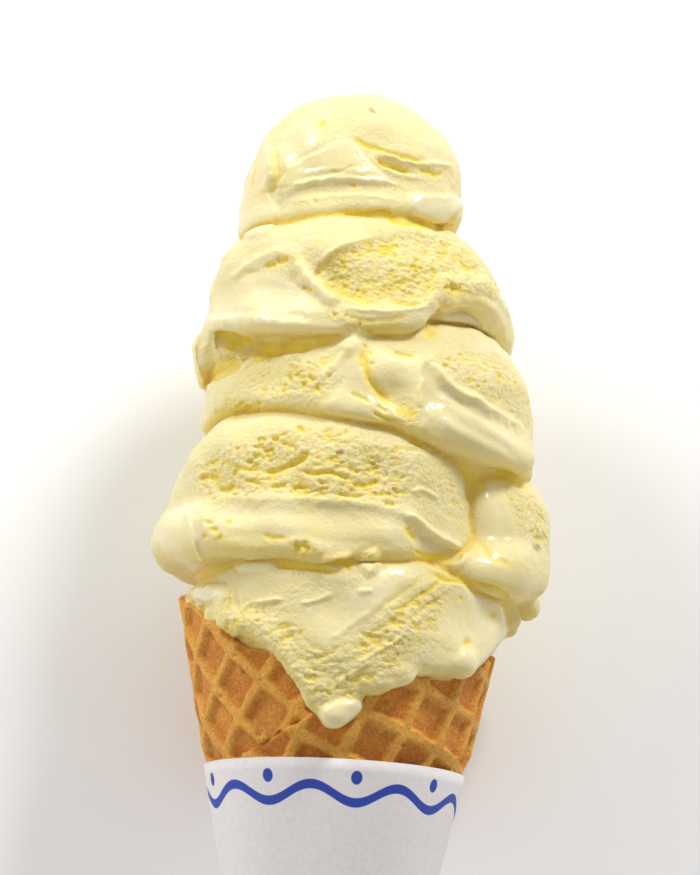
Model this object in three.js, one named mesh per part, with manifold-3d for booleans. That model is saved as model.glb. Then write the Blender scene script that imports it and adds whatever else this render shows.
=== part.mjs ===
// Rolled waffle cone in a paper sleeve, heaped with six soft, half melted scoops of ice cream.
// Each piece is modelled standing on the point of the cone: z runs up the cone's axis from the
// point of its taper, +X is to the right of its shown face and -Y out of it. A last turn lays it down.
// Millimetres. An azimuth is in degrees: 0 at the shown face, 90 to the right, 180 at the back.
import * as THREE from 'three';
import { mergeVertices } from 'three/addons/utils/BufferGeometryUtils.js';
import Module from 'manifold-3d';

const wasm = await Module();
wasm.setup();

// ---- Driving dimensions ----
const TAPER = 0.2165; // radius gained for each millimetre up the axis
const TIP_HEIGHT = 15; // the rounded end of the wafer
const WALL = 2.5;
const GAP = 0.3; // kept between pieces that touch
const PINCH = 0.8; // the sleeve presses the wafer in by this much
const SLEEVE_TOP = 134;
const SLEEVE_TIP = 9;
const PINCHED_TO = SLEEVE_TOP + 0.5;
const PINCH_FADE = 5; // height over which the wafer swells out again above the sleeve
const PAPER = 0.5;
const SLEEVE_OUT = 0.1; // outer face of the paper beyond the plain taper
const FLAP = 1.2; // thickness of the sheet's outer wrap where it ends
const FLAP_INSIDE = -2.0; // its inner face, deeper than the pockets it covers
const RIM_HEIGHTS = [
  [-180, 168], [-130, 173], [-86, 172], [-56, 164], [-36, 157], [0, 152], [45, 153], [90, 162],
  [135, 167],
];
const SEAM = { height: 145.5, rise: 0.243 }; // the wrap's edge at the front, and its rise for a degree
const WAFFLE = { ridge: 2.4, floor: 5.4, depth: 1.5 };
const INNER_GRID = { pitch: 10.5, turn: -33, start: [-26.4, 158.3] };
const OUTER_GRID = { pitch: 10.3, turn: -24, start: [19.3, 152.4] };
const CONE_COLUMNS = 36;
const SCOOP_COLUMNS = 40;
const SHORTEST = 0.15; // edges shorter than this, left by cuts, are drawn together
const FLATTEST = 0.03; // and triangles lower than this are handed over
const RELIEF = 0.45; // height of the slow unevenness of the ice cream

const CREAM = new THREE.Color(0xf1dfae);
const WAFER = new THREE.Color(0xc98a4a);
const PAPER_WHITE = new THREE.Color(0xece9ee);

// ---- Curves round the axis ----
const radians = (degrees) => (degrees * Math.PI) / 180;
const conic = (height) => height * TAPER;
const smooth = (t) => t * t * (3 - 2 * t);
const clamped = (t) => Math.min(1, Math.max(0, t));

// A value that eases from one [azimuth, value] knot to the next all the way round.
function ring(knots) {
  const ordered = [...knots].sort((a, b) => a[0] - b[0]);
  return (azimuth) => {
    const first = ordered[0][0];
    const turned = ((((azimuth - first) % 360) + 360) % 360) + first;
    let before = ordered[ordered.length - 1];
    let after = [first + 360, ordered[0][1]];
    for (let i = 0; i + 1 < ordered.length; i += 1) {
      if (turned >= ordered[i][0] && turned < ordered[i + 1][0]) {
        before = ordered[i];
        after = ordered[i + 1];
      }
    }
    const share = (turned - before[0]) / (after[0] - before[0]);
    return before[1] + (after[1] - before[1]) * smooth(share);
  };
}

const rimHeight = ring(RIM_HEIGHTS);
const pinched = (height) => 1 - smooth(clamped((height - PINCHED_TO) / PINCH_FADE));
const taperAt = (height) => conic(height) - PINCH * pinched(height);

// The outer wrap thins out as it winds round behind and under the inner one.
const flapHeight = (azimuth) => SEAM.height + SEAM.rise * azimuth;
// The sleeve presses it flat against the inner one.
const flapFace = ring([
  [-143, -1], [-124, 0.8], [-70, FLAP], [0, FLAP], [50, 0.7], [90, 0.3], [160, 0.4], [178, -1],
]);
const flapAt = (azimuth, height) => flapFace(azimuth) * (1 - 0.9 * pinched(height));

// ---- Solids ----
// Drops the normals, joins equal points and leaves out triangles that have no area.
function welded(geometry) {
  const bare = geometry.clone();
  bare.deleteAttribute('normal');
  bare.deleteAttribute('uv');
  const joined = mergeVertices(bare, 1e-4);
  const kept = [];
  const index = joined.index.array;
  for (let i = 0; i < index.length; i += 3) {
    const [a, b, c] = [index[i], index[i + 1], index[i + 2]];
    if (a !== b && b !== c && c !== a) {
      kept.push(a, b, c);
    }
  }
  joined.setIndex(kept);
  return joined;
}

// Sweeps a profile of [radius, height] points round the axis; the profile may change on its way.
// The profile runs down the outside. An open one starts and ends on the axis; a closed one names
// its first point again.
function swept(profileAt, columns, [x, y] = [0, 0]) {
  const rows = profileAt(0).length;
  const position = [];
  const index = [];
  for (let column = 0; column <= columns; column += 1) {
    const azimuth = (360 * (column % columns)) / columns - 180;
    const [side, front] = [Math.sin(radians(azimuth)), -Math.cos(radians(azimuth))];
    for (const [radius, height] of profileAt(azimuth)) {
      position.push(x + radius * side, y + radius * front, height);
    }
  }
  for (let column = 0; column < columns; column += 1) {
    for (let row = 0; row + 1 < rows; row += 1) {
      const a = column * rows + row;
      const b = a + rows;
      index.push(a, b + 1, b, a, a + 1, b + 1);
    }
  }
  const geometry = new THREE.BufferGeometry();
  geometry.setAttribute('position', new THREE.Float32BufferAttribute(position, 3));
  geometry.setIndex(index);
  return welded(geometry);
}

function solid(geometry) {
  const clean = welded(geometry);
  const mesh = new wasm.Mesh({
    numProp: 3,
    vertProperties: new Float32Array(clean.attributes.position.array),
    triVerts: new Uint32Array(clean.index.array),
  });
  return new wasm.Manifold(mesh);
}

// Moves every point along its normal by a distance that may depend on the point.
function pushed(geometry, distanceAt) {
  const result = geometry.clone();
  result.computeVertexNormals();
  const position = result.attributes.position;
  const normal = result.attributes.normal;
  const point = new THREE.Vector3();
  const direction = new THREE.Vector3();
  for (let i = 0; i < position.count; i += 1) {
    point.fromBufferAttribute(position, i);
    direction.fromBufferAttribute(normal, i);
    point.addScaledVector(direction, distanceAt(point));
    position.setXYZ(i, point.x, point.y, point.z);
  }
  result.deleteAttribute('normal');
  return result;
}

const grown = (geometry) => solid(pushed(geometry, () => GAP));

// The triangles of the largest connected piece: a cut may leave loose crumbs, which fall away.
function mainPiece(triangles, count) {
  const parent = Array.from({ length: count }, (_, vertex) => vertex);
  const rootOf = (vertex) => {
    let root = vertex;
    while (parent[root] !== root) {
      parent[root] = parent[parent[root]];
      root = parent[root];
    }
    return root;
  };
  const groups = new Map();
  for (let i = 0; i < triangles.length; i += 3) {
    parent[rootOf(triangles[i + 1])] = rootOf(triangles[i]);
    parent[rootOf(triangles[i + 2])] = rootOf(triangles[i]);
  }
  for (let i = 0; i < triangles.length; i += 3) {
    const root = rootOf(triangles[i]);
    if (!groups.has(root)) {
      groups.set(root, []);
    }
    groups.get(root).push(triangles[i], triangles[i + 1], triangles[i + 2]);
  }
  return [...groups.values()].sort((a, b) => b.length - a.length)[0];
}

// Cuts leave needle triangles: short edges are drawn together and flat triangles handed over.
class Tidier {
  constructor(positions, triangles) {
    this.points = [];
    for (let i = 0; i < positions.length; i += 3) {
      this.points.push(new THREE.Vector3(positions[i], positions[i + 1], positions[i + 2]));
    }
    this.faces = [];
    this.around = this.points.map(() => new Set());
    for (let i = 0; i < triangles.length; i += 3) {
      this.put(i / 3, [triangles[i], triangles[i + 1], triangles[i + 2]]);
    }
  }

  put(id, corners) {
    this.faces[id] = corners;
    corners.forEach((corner) => this.around[corner].add(id));
  }

  take(id) {
    this.faces[id].forEach((corner) => this.around[corner].delete(id));
    this.faces[id] = null;
  }

  length(a, b) {
    return this.points[a].distanceTo(this.points[b]);
  }

  // The triangle's normal, as long as twice its area.
  spread([a, b, c]) {
    const along = this.points[b].clone().sub(this.points[a]);
    return along.cross(this.points[c].clone().sub(this.points[a]));
  }

  height([a, b, c]) {
    const longest = Math.max(this.length(a, b), this.length(b, c), this.length(c, a));
    return this.spread([a, b, c]).length() / longest;
  }

  neighbours(corner) {
    return new Set([...this.around[corner]].flatMap((id) => this.faces[id]));
  }

  // Moves corner b onto corner a, unless that would pinch the surface or fold it over.
  drawTogether(a, b) {
    const near = this.neighbours(b);
    const shared = [...this.neighbours(a)].filter((corner) => near.has(corner));
    if (shared.length !== 4) {
      return false;
    }
    const moving = [...this.around[b]].filter((id) => !this.faces[id].includes(a));
    const turned = (id) => this.faces[id].map((corner) => (corner === b ? a : corner));
    const folds = moving.some((id) => {
      const [before, after] = [this.spread(this.faces[id]), this.spread(turned(id))];
      const [high, low] = [this.height(this.faces[id]), this.height(turned(id))];
      const flips = high > FLATTEST && before.dot(after) < 0.7 * before.length() * after.length();
      return flips || (low < FLATTEST && low < high);
    });
    if (folds) {
      return false;
    }
    for (const id of [...this.around[b]]) {
      const corners = turned(id);
      const goes = this.faces[id].includes(a);
      this.take(id);
      if (!goes) {
        this.put(id, corners);
      }
    }
    return true;
  }

  // Gives a flat triangle the other diagonal of the four corners that it shares with its neighbour.
  handOver(id) {
    const corners = this.faces[id];
    const sides = [0, 1, 2].map((i) => [corners[i], corners[(i + 1) % 3], corners[(i + 2) % 3]]);
    const [p, q, r] = sides.sort((s, t) => this.length(t[0], t[1]) - this.length(s[0], s[1]))[0];
    const other = [...this.around[p]].find((face) => face !== id && this.faces[face].includes(q));
    const s = this.faces[other].find((corner) => corner !== p && corner !== q);
    const made = [[p, s, r], [s, q, r]];
    const before = Math.min(this.height(this.faces[id]), this.height(this.faces[other]));
    if (this.neighbours(r).has(s) || Math.min(...made.map((face) => this.height(face))) <= before) {
      return;
    }
    this.take(id);
    this.take(other);
    this.put(id, made[0]);
    this.put(other, made[1]);
  }

  tidy() {
    for (let round = 0; round < 6; round += 1) {
      for (let id = 0; id < this.faces.length; id += 1) {
        for (let i = 0; i < 3 && this.faces[id]; i += 1) {
          const [a, b] = [this.faces[id][i], this.faces[id][(i + 1) % 3]];
          if (this.length(a, b) < SHORTEST && !this.drawTogether(a, b)) {
            this.drawTogether(b, a);
          }
        }
        if (this.faces[id] && this.height(this.faces[id]) < FLATTEST) {
          this.handOver(id);
        }
      }
    }
    return this.faces.filter((face) => face).flat();
  }
}

function named(manifold, name, color, roughness) {
  const mesh = manifold.getMesh();
  const triangles = mainPiece(mesh.triVerts, mesh.vertProperties.length / 3);
  const geometry = new THREE.BufferGeometry();
  geometry.setAttribute('position', new THREE.Float32BufferAttribute(mesh.vertProperties, 3));
  geometry.setIndex(new Tidier(mesh.vertProperties, triangles).tidy());
  geometry.computeVertexNormals();
  const material = new THREE.MeshStandardMaterial({ color, roughness, metalness: 0 });
  const result = new THREE.Mesh(geometry, material);
  result.name = name;
  return result;
}

// ---- Waffle cone ----
// The wafer's profile at one azimuth, listed up the outside, over the rounded rim and down the inside.
function waferProfile(azimuth, spare = 0) {
  const rim = rimHeight(azimuth) + spare;
  const outer = (height) => taperAt(height) + spare;
  const inner = (height) => taperAt(height) - WALL - spare;
  const floor = TIP_HEIGHT + 2 * WALL;
  return [
    [0, TIP_HEIGHT - spare],
    [outer(TIP_HEIGHT) * 0.7, TIP_HEIGHT - spare],
    [outer(TIP_HEIGHT + 1.5), TIP_HEIGHT + 1.5],
    [outer(75), 75],
    [outer(PINCHED_TO), PINCHED_TO],
    [outer(PINCHED_TO + PINCH_FADE / 2), PINCHED_TO + PINCH_FADE / 2],
    [outer(PINCHED_TO + PINCH_FADE), PINCHED_TO + PINCH_FADE],
    [outer(rim - 0.8), rim - 0.8],
    [outer(rim) - 0.8, rim],
    [inner(rim) + 0.8, rim],
    [inner(rim - 0.8), rim - 0.8],
    [inner(SLEEVE_TOP), SLEEVE_TOP],
    [inner(floor + 4) * 0.9, floor + 4],
    [0, floor],
  ].reverse();
}

// The outer wrap: a closed band from under the sleeve up to its rising edge.
function flapProfile(azimuth, spare = 0) {
  const top = Math.min(flapHeight(azimuth), rimHeight(azimuth) - 0.5) + spare;
  const bottom = 100;
  const outer = (height) => {
    const shown = smooth(clamped((height - bottom) / 12));
    return taperAt(height) + FLAP_INSIDE + (flapAt(azimuth, height) - FLAP_INSIDE) * shown + spare;
  };
  const inner = (height) => taperAt(height) + FLAP_INSIDE - 0.2;
  const low = Math.min(top - 2.1, PINCHED_TO);
  const middle = Math.min(top - 1.6, PINCHED_TO + PINCH_FADE / 2);
  const free = Math.min(top - 1.1, PINCHED_TO + PINCH_FADE);
  const profile = [
    [inner(bottom), bottom],
    [outer(bottom + 12), bottom + 12],
    [outer(low), low],
    [outer(middle), middle],
    [outer(free), free],
    [outer(top - 0.5), top - 0.5],
    [outer(top) - 0.5, top],
    [inner(top), top],
  ];
  return [...profile, profile[0]].reverse();
}

// Places a point of the unrolled sheet back on the cone, with its outward direction.
function rolled([across, along], outAt) {
  const slope = Math.atan(TAPER);
  const slant = Math.hypot(across, along);
  const azimuth = Math.atan2(across, along) / Math.sin(slope);
  const height = slant * Math.cos(slope);
  const radius = taperAt(height) + outAt((azimuth * 180) / Math.PI, height);
  const [side, front] = [Math.sin(azimuth), -Math.cos(azimuth)];
  const outward = new THREE.Vector3(side, front, -TAPER).normalize();
  const upward = new THREE.Vector3(side * TAPER, front * TAPER, 1).normalize();
  const centre = new THREE.Vector3(radius * side, radius * front, height);
  const lean = Math.atan2(across, along);
  return { centre, outward, upward, azimuth: (azimuth * 180) / Math.PI, height, lean };
}

// One square pocket with sloping sides, pressed into the sheet.
function pocket(cell, spot) {
  const opening = cell.pitch - WAFFLE.ridge;
  const above = 1.0;
  const flare = (opening - WAFFLE.floor) / WAFFLE.depth;
  const mouth = (opening + flare * above) / Math.SQRT2;
  const floor = WAFFLE.floor / Math.SQRT2;
  const shape = new THREE.CylinderGeometry(mouth, floor, WAFFLE.depth + above, 4, 1);
  shape.rotateY(Math.PI / 4 + radians(cell.turn) + spot.lean);
  const sideways = new THREE.Vector3().crossVectors(spot.upward, spot.outward);
  const frame = new THREE.Matrix4().makeBasis(sideways, spot.outward, spot.upward.clone().negate());
  const middle = spot.centre.clone().addScaledVector(spot.outward, (above - WAFFLE.depth) / 2);
  frame.setPosition(middle);
  shape.applyMatrix4(frame);
  return solid(shape);
}

// The lower edge of the ice cream that hides the sheet, or the rim where it hides nothing.
function icedFrom(azimuth) {
  const { height, radius, thick } = SCOOPS[SCOOPS.length - 1].lip;
  const hangsOver = radius(azimuth) > 1;
  return hangsOver ? height(azimuth) - thick(azimuth) : rimHeight(azimuth);
}

// All the pockets of one grid that show and whose middle lies where `covers` says.
function pockets(grid, outAt, covers) {
  const turn = radians(grid.turn);
  const along = [Math.cos(turn) * grid.pitch, Math.sin(turn) * grid.pitch];
  const down = [Math.sin(turn) * grid.pitch, -Math.cos(turn) * grid.pitch];
  const found = [];
  for (let i = -14; i <= 14; i += 1) {
    for (let j = -14; j <= 14; j += 1) {
      const point = [
        grid.start[0] + (i + 0.5) * along[0] + (j + 0.5) * down[0],
        grid.start[1] + (i + 0.5) * along[1] + (j + 0.5) * down[1],
      ];
      const spot = rolled(point, outAt);
      const seen = spot.height > SLEEVE_TOP - 4 && spot.height < icedFrom(spot.azimuth) + grid.pitch;
      if (seen && Math.abs(spot.azimuth) <= 180 && covers(spot)) {
        found.push(pocket(grid, spot));
      }
    }
  }
  return found;
}

const without = (body, cutters) => cutters.reduce((left, cutter) => left.subtract(cutter), body);

function waffleCone() {
  const isBare = (spot) => spot.height > flapHeight(spot.azimuth) - 6 && spot.azimuth < 100;
  const isBack = (spot) => spot.azimuth >= 100;
  const isWrapped = (spot) => spot.height < flapHeight(spot.azimuth) - 3.5 && spot.azimuth < 100;
  const sheet = without(solid(swept(waferProfile, CONE_COLUMNS)), pockets(INNER_GRID, () => 0, isBare));
  const wrap = without(solid(swept(flapProfile, CONE_COLUMNS)), pockets(OUTER_GRID, flapAt, isWrapped));
  const whole = sheet.add(wrap);
  return without(whole, pockets(OUTER_GRID, () => 0.3, isBack));
}

// ---- Paper sleeve ----
function paperSleeve() {
  const outer = (height) => conic(height) + SLEEVE_OUT;
  const inner = (height) => outer(height) - PAPER;
  const profile = [
    [0, SLEEVE_TIP],
    [outer(SLEEVE_TIP) * 0.75, SLEEVE_TIP + 0.3],
    [outer(SLEEVE_TIP + 2), SLEEVE_TIP + 2],
    [outer(SLEEVE_TOP), SLEEVE_TOP],
    [inner(SLEEVE_TOP), SLEEVE_TOP],
    [inner(SLEEVE_TIP + 3), SLEEVE_TIP + 3],
    [0, SLEEVE_TIP + 1.5],
  ].reverse();
  return solid(swept(() => profile, CONE_COLUMNS));
}

// ---- Scoops ----
// Each scoop is a squat dome over a belly, with a soft lip that hangs out round its lower edge.
// The smaller `square` is, the squarer are the dome's shoulders.
// `dents` are soft hollows (by < 0) or swells (by > 0): [x, y, z, size, by].
const SCOOPS = [
  {
    name: 'scoop_top',
    at: [-1.9, 0],
    top: 292.3,
    square: 0.9,
    belly: ring([[0, 267], [90, 269], [180, 267], [-90, 265]]),
    side: ring([[0, 25.2], [90, 25.6], [180, 25], [-90, 26]]),
    lip: {
      out: ring([[-90, 0.5], [-20, 1.3], [50, 1.7], [90, 0.3], [180, 1]]),
      height: ring([
        [-90, 259], [-60, 257.4], [-28, 256.4], [0, 258.4], [40, 260.2], [60, 262.8], [90, 266],
        [180, 260], [-140, 258.5],
      ]),
      thick: ring([[0, 3.2]]),
    },
    foot: { inset: 5.5, height: 250 },
    dents: [
      [18, -17, 263, 6, 1.2], [12, -18, 283, 6, -1.2], [-17, -17, 268, 5, 0.9], [4, -26, 274, 6, -0.8],
      [6, 24, 276, 8, -1.2],
    ],
  },
  {
    name: 'scoop_second',
    at: [0.3, 0],
    top: 264,
    square: 1,
    belly: ring([[0, 243], [90, 241], [180, 243], [-90, 244]]),
    side: ring([[0, 33.5], [90, 33.8], [180, 34], [-90, 34.3]]),
    lip: {
      out: ring([[-90, 3], [-45, 2], [0, 2.6], [45, 2.2], [90, 2.6], [180, 2.4], [-135, 3]]),
      height: ring([
        [-90, 229], [-62, 229.5], [-40, 232], [-18, 230.4], [2, 230.8], [18, 231], [34, 240],
        [50, 242], [72, 240], [90, 235.5], [130, 233], [180, 230], [-135, 232],
      ]),
      thick: ring([[-90, 9.5], [-64, 9], [-44, 4.6], [0, 4.6], [90, 4.6], [180, 4.6], [-130, 6]]),
    },
    foot: { inset: 5, height: 217 },
    dents: [
      [5, -31, 250, 6, -2], [15, -28, 250, 6, -2], [-7, -32, 245, 4, 1.2], [-22, -25, 247, 5, -1],
      [-28, -22, 226, 4.5, -2.2], [8, 32, 246, 9, -1.4],
    ],
  },
  {
    name: 'scoop_third',
    at: [3.5, 0],
    top: 239.5,
    square: 0.82,
    belly: ring([[60, 216], [110, 214.5], [-90, 217.5], [-50, 217], [0, 215], [180, 216]]),
    side: ring([[0, 35.8], [90, 38.4], [180, 36.5], [-90, 37.3]]),
    lip: {
      out: ring([[-90, 0.4], [-20, 0.6], [12, 0.8], [32, 1.8], [58, 3.2], [90, 0.8], [180, 1.6]]),
      height: ring([
        [-90, 213], [-60, 213.6], [-35, 212.8], [-15, 210.6], [8, 209.3], [20, 208.2], [32, 206.8],
        [50, 205.6], [72, 205.3], [90, 205], [135, 206], [180, 205], [-135, 210.5],
      ]),
      thick: ring([[-90, 3], [0, 3.2], [40, 6], [90, 4.6], [180, 4.2]]),
    },
    foot: { inset: 6.5, height: 194 },
    dents: [
      [9, -34, 213, 4, -2.2], [-19, -29, 218, 5, -1.2], [-22, -24, 228, 9, -5], [26, -26, 214, 6, 1.2],
      [-6, 35, 214, 8, -1.4],
    ],
  },
  {
    name: 'scoop_fourth',
    at: [-3, 1.5],
    top: 218,
    square: 0.82,
    belly: ring([[-90, 195], [-40, 198], [0, 197], [40, 198], [90, 195], [180, 195]]),
    side: ring([
      [-90, 36.6], [-45, 38], [0, 39.2], [35, 38.6], [56, 36.8], [75, 32], [90, 28.5], [120, 31],
      [155, 41], [180, 42.6], [-135, 41],
    ]),
    lip: {
      out: ring([[-90, 4.7], [-50, 3.8], [0, 2.2], [40, 1.4], [90, 0.4], [180, 1], [-135, 2.5]]),
      height: ring([[-90, 184.7], [-45, 183], [0, 181], [40, 183], [90, 186], [180, 186], [-135, 186]]),
      thick: ring([[-90, 7], [0, 6.4], [90, 6]]),
    },
    foot: { inset: 7, height: 171 },
    dents: [
      [-14, -37, 198, 7, -1.6], [6, -38, 197, 7, -1.4], [-2, -40, 182, 8, -1.2], [20, -33, 181, 5, -1.8],
      [-30, -26, 200, 6, -1], [-35, -6, 205, 7, -1.8], [-38, -6, 190, 6, 1.4],
    ],
  },
  {
    name: 'scoop_side',
    at: [15, 1],
    top: 213,
    square: 0.82,
    belly: ring([[0, 188.5]]),
    side: ring([[90, 31.8], [60, 29.6], [42, 27.5], [22, 21.5], [0, 20], [-90, 24], [180, 31], [135, 32.5]]),
    lip: {
      out: ring([[-40, 6], [0, 9], [25, 8], [45, 4.5], [65, 1.6], [90, 0.2], [160, 1.6], [-90, 1]]),
      height: ring([[0, 178], [60, 179], [95, 182.5], [180, 180]]),
      thick: ring([[0, 6], [90, 7]]),
    },
    foot: { inset: 7, height: 169 },
    dents: [[36, -22, 197, 6, -1], [40, -16, 181, 6, 0.8]],
  },
  {
    name: 'scoop_bottom',
    at: [0, 0],
    top: 186,
    square: 0.82,
    belly: ring([[0, 171], [-90, 174]]),
    side: ring([[-90, 33.7], [-60, 33.7], [-20, 36.4], [20, 36.8], [90, 37.6], [180, 37.4], [-130, 34.2]]),
    lip: {
      height: ring([
        [-90, 168], [-62, 167], [-42, 163.8], [-32, 162.6], [-24, 159.6], [-17, 154.8], [-11, 147.6],
        [-4, 144.2], [12, 151],
        [32, 156.5], [50, 157.5], [74, 166.5], [90, 170], [135, 164], [180, 160], [-140, 168],
      ]),
      radius: ring([
        [-90, -3], [-60, -3], [-42, 2.4], [-20, 3.4], [50, 3.4], [75, 1.4], [90, 1.4], [150, 3.4],
        [180, 3.2],
        [-150, 2.4], [-130, -3],
      ]),
      thick: ring([[-90, 3], [0, 4.2], [90, 4]]),
    },
    foot: { inset: 14, height: 136 },
    dents: [[-4, -36, 165, 6, -1], [12, -34, 160, 5, 0.8], [26, -27, 166, 6, -1]],
  },
];
const DOME_ROWS = 5;

function scoopProfile(scoop, azimuth) {
  const side = scoop.side(azimuth);
  const belly = scoop.belly(azimuth);
  const lip = scoop.lip.height(azimuth);
  const thick = scoop.lip.thick(azimuth);
  const reach = scoop.lip.out ? side + scoop.lip.out(azimuth) : conic(lip) + scoop.lip.radius(azimuth);
  const stand = reach - side;
  const under = lip - thick;
  const root = Math.max(reach - 1.5 * thick, side - scoop.foot.inset);
  const profile = [[0, scoop.top]];
  for (let i = DOME_ROWS - 1; i >= 0; i -= 1) {
    const rise = (Math.PI / 2) * (i / DOME_ROWS);
    profile.push([side * Math.cos(rise) ** scoop.square, belly + (scoop.top - belly) * Math.sin(rise)]);
  }
  profile.push([side, Math.max((belly + lip) / 2, lip + thick * 0.95)]);
  profile.push([side + stand * 0.6, lip + thick * 0.55]);
  profile.push([reach, lip]);
  profile.push([reach - 0.12 * thick, lip - thick * 0.6]);
  profile.push([reach - 0.55 * thick, under]);
  profile.push([root, under + thick * 0.1]);
  profile.push([Math.min(side - scoop.foot.inset, root - 0.6), scoop.foot.height]);
  profile.push([0, scoop.foot.height - 1]);
  return profile;
}

// Slow rises and falls, the same everywhere at once so that no pattern repeats on a scoop.
function unevenness({ x, y, z }) {
  const slow = Math.sin(0.31 * x + 0.17 * z + 1.3) * Math.cos(0.27 * y - 0.21 * z);
  const quick = Math.sin(0.61 * z - 0.43 * x + 0.5) * Math.cos(0.53 * y + 0.37 * x + 2.1);
  return RELIEF * (slow + 0.7 * quick);
}

function dented(scoop, point) {
  let distance = unevenness(point);
  for (const [x, y, z, size, by] of scoop.dents) {
    const squared = (point.x - x) ** 2 + (point.y - y) ** 2 + (point.z - z) ** 2;
    distance += by * Math.exp(-squared / (size * size));
  }
  return distance;
}

function scoopGeometry(scoop) {
  const smoothBody = swept((azimuth) => scoopProfile(scoop, azimuth), SCOOP_COLUMNS, scoop.at);
  return pushed(smoothBody, (point) => dented(scoop, point));
}

// The ice cream that fills the cone down to its tip.
function filling() {
  const radius = (height) => taperAt(height) - WALL - 1.5 * GAP;
  const floor = TIP_HEIGHT + 2 * WALL + 6;
  const profile = [
    [0, 160],
    [radius(150), 150],
    [radius(SLEEVE_TOP), SLEEVE_TOP],
    [radius(floor + 4) * 0.85, floor + 4],
    [0, floor],
  ];
  return solid(swept(() => profile, SCOOP_COLUMNS));
}

// ---- Lying down ----
const LEAN = Math.atan(TAPER);
const lying = new THREE.Matrix4().makeRotationX(-(Math.PI / 2 - LEAN));
lying.setPosition(0, 0, SLEEVE_OUT * Math.cos(LEAN));

// The floor that the ice cream settles on, seen from the standing cone.
function floorBlock() {
  const block = new THREE.BoxGeometry(400, 500, 60);
  block.translate(0, 150, -30);
  block.applyMatrix4(lying.clone().invert());
  return solid(block);
}

function build() {
  const floor = floorBlock();
  const spareWafer = solid(swept((azimuth) => waferProfile(azimuth, GAP), CONE_COLUMNS));
  const spareWrap = solid(swept((azimuth) => flapProfile(azimuth, GAP), CONE_COLUMNS));
  const pieces = new THREE.Group();
  pieces.add(named(waffleCone(), 'waffle_cone', WAFER, 0.75));
  pieces.add(named(paperSleeve(), 'paper_sleeve', PAPER_WHITE, 0.8));
  const above = [];
  for (const scoop of SCOOPS) {
    const geometry = scoopGeometry(scoop);
    let body = solid(geometry);
    if (scoop.name === 'scoop_bottom') {
      body = body.add(filling());
    }
    body = without(body, [floor, spareWafer, spareWrap, ...above]);
    pieces.add(named(body, scoop.name, CREAM, 0.45));
    above.push(grown(geometry));
  }
  pieces.applyMatrix4(lying);
  const root = new THREE.Group();
  root.add(pieces);
  root.updateMatrixWorld(true);
  const box = new THREE.Box3().setFromObject(root, true);
  const middle = box.getCenter(new THREE.Vector3());
  root.position.set(-middle.x, -middle.y, -box.min.z);
  root.updateMatrixWorld(true);
  return root;
}

const group = build();

export default group;
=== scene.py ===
"""Looks of the ice cream cone: melting pale yellow scoops in a waffle cone with a paper sleeve.

Shapes are worked out in the standing frame of part.mjs: millimetres, z up the cone's axis from the
point of its taper, +X to the right of the shown face and -Y out of it. An azimuth is in degrees,
0 at the shown face and 90 to the right. The last step lays every piece down in the row frame.
"""
import math

import bpy
import numpy as np
from mathutils import Euler, Matrix, Vector


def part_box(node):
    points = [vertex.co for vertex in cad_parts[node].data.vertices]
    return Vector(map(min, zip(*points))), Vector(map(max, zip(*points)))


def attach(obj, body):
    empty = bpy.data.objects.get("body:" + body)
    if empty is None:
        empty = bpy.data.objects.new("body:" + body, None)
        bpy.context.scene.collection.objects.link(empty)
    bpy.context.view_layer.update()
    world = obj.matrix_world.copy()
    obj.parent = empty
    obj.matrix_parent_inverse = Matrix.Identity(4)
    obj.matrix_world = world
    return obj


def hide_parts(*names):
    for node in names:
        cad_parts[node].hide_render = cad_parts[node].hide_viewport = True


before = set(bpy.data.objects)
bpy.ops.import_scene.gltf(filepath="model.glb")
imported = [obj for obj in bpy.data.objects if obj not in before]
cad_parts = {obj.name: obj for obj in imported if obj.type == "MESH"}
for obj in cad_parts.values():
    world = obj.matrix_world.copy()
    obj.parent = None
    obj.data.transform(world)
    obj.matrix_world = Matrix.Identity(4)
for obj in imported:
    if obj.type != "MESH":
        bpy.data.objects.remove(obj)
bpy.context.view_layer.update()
MM = 0.001

# ---- Cone and sleeve, as in part.mjs ----
TAPER = 0.2165
LEAN = math.atan(TAPER)
TIP_HEIGHT = 15
WALL = 2.5
PINCH = 0.8
SLEEVE_TOP = 134
SLEEVE_TIP = 9
PINCHED_TO = SLEEVE_TOP + 0.5
PINCH_FADE = 5
PAPER = 0.5
SLEEVE_OUT = 0.1
FLAP = 1.2
RIM_HEIGHTS = [
    (-180, 168), (-130, 173), (-86, 172), (-56, 164), (-36, 157), (0, 152), (45, 153), (90, 162),
    (135, 167),
]
SEAM_HEIGHT = 145.5
SEAM_RISE = 0.243
WAFFLE_DEPTH = 1.5
INNER_GRID = {"pitch": 10.5, "turn": -33, "start": (-26.4, 158.3)}
OUTER_GRID = {"pitch": 10.3, "turn": -24, "start": (19.3, 152.4)}

# ---- Camera, in the standing frame ----
TARGET_HEIGHT = 210.9
DISTANCE = 620
BELOW = 13  # degrees that the camera is displaced towards the cone's point
ROLL = 2.73
FOCAL = 2696  # in pixels
IMAGE = (700, 875)

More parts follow.
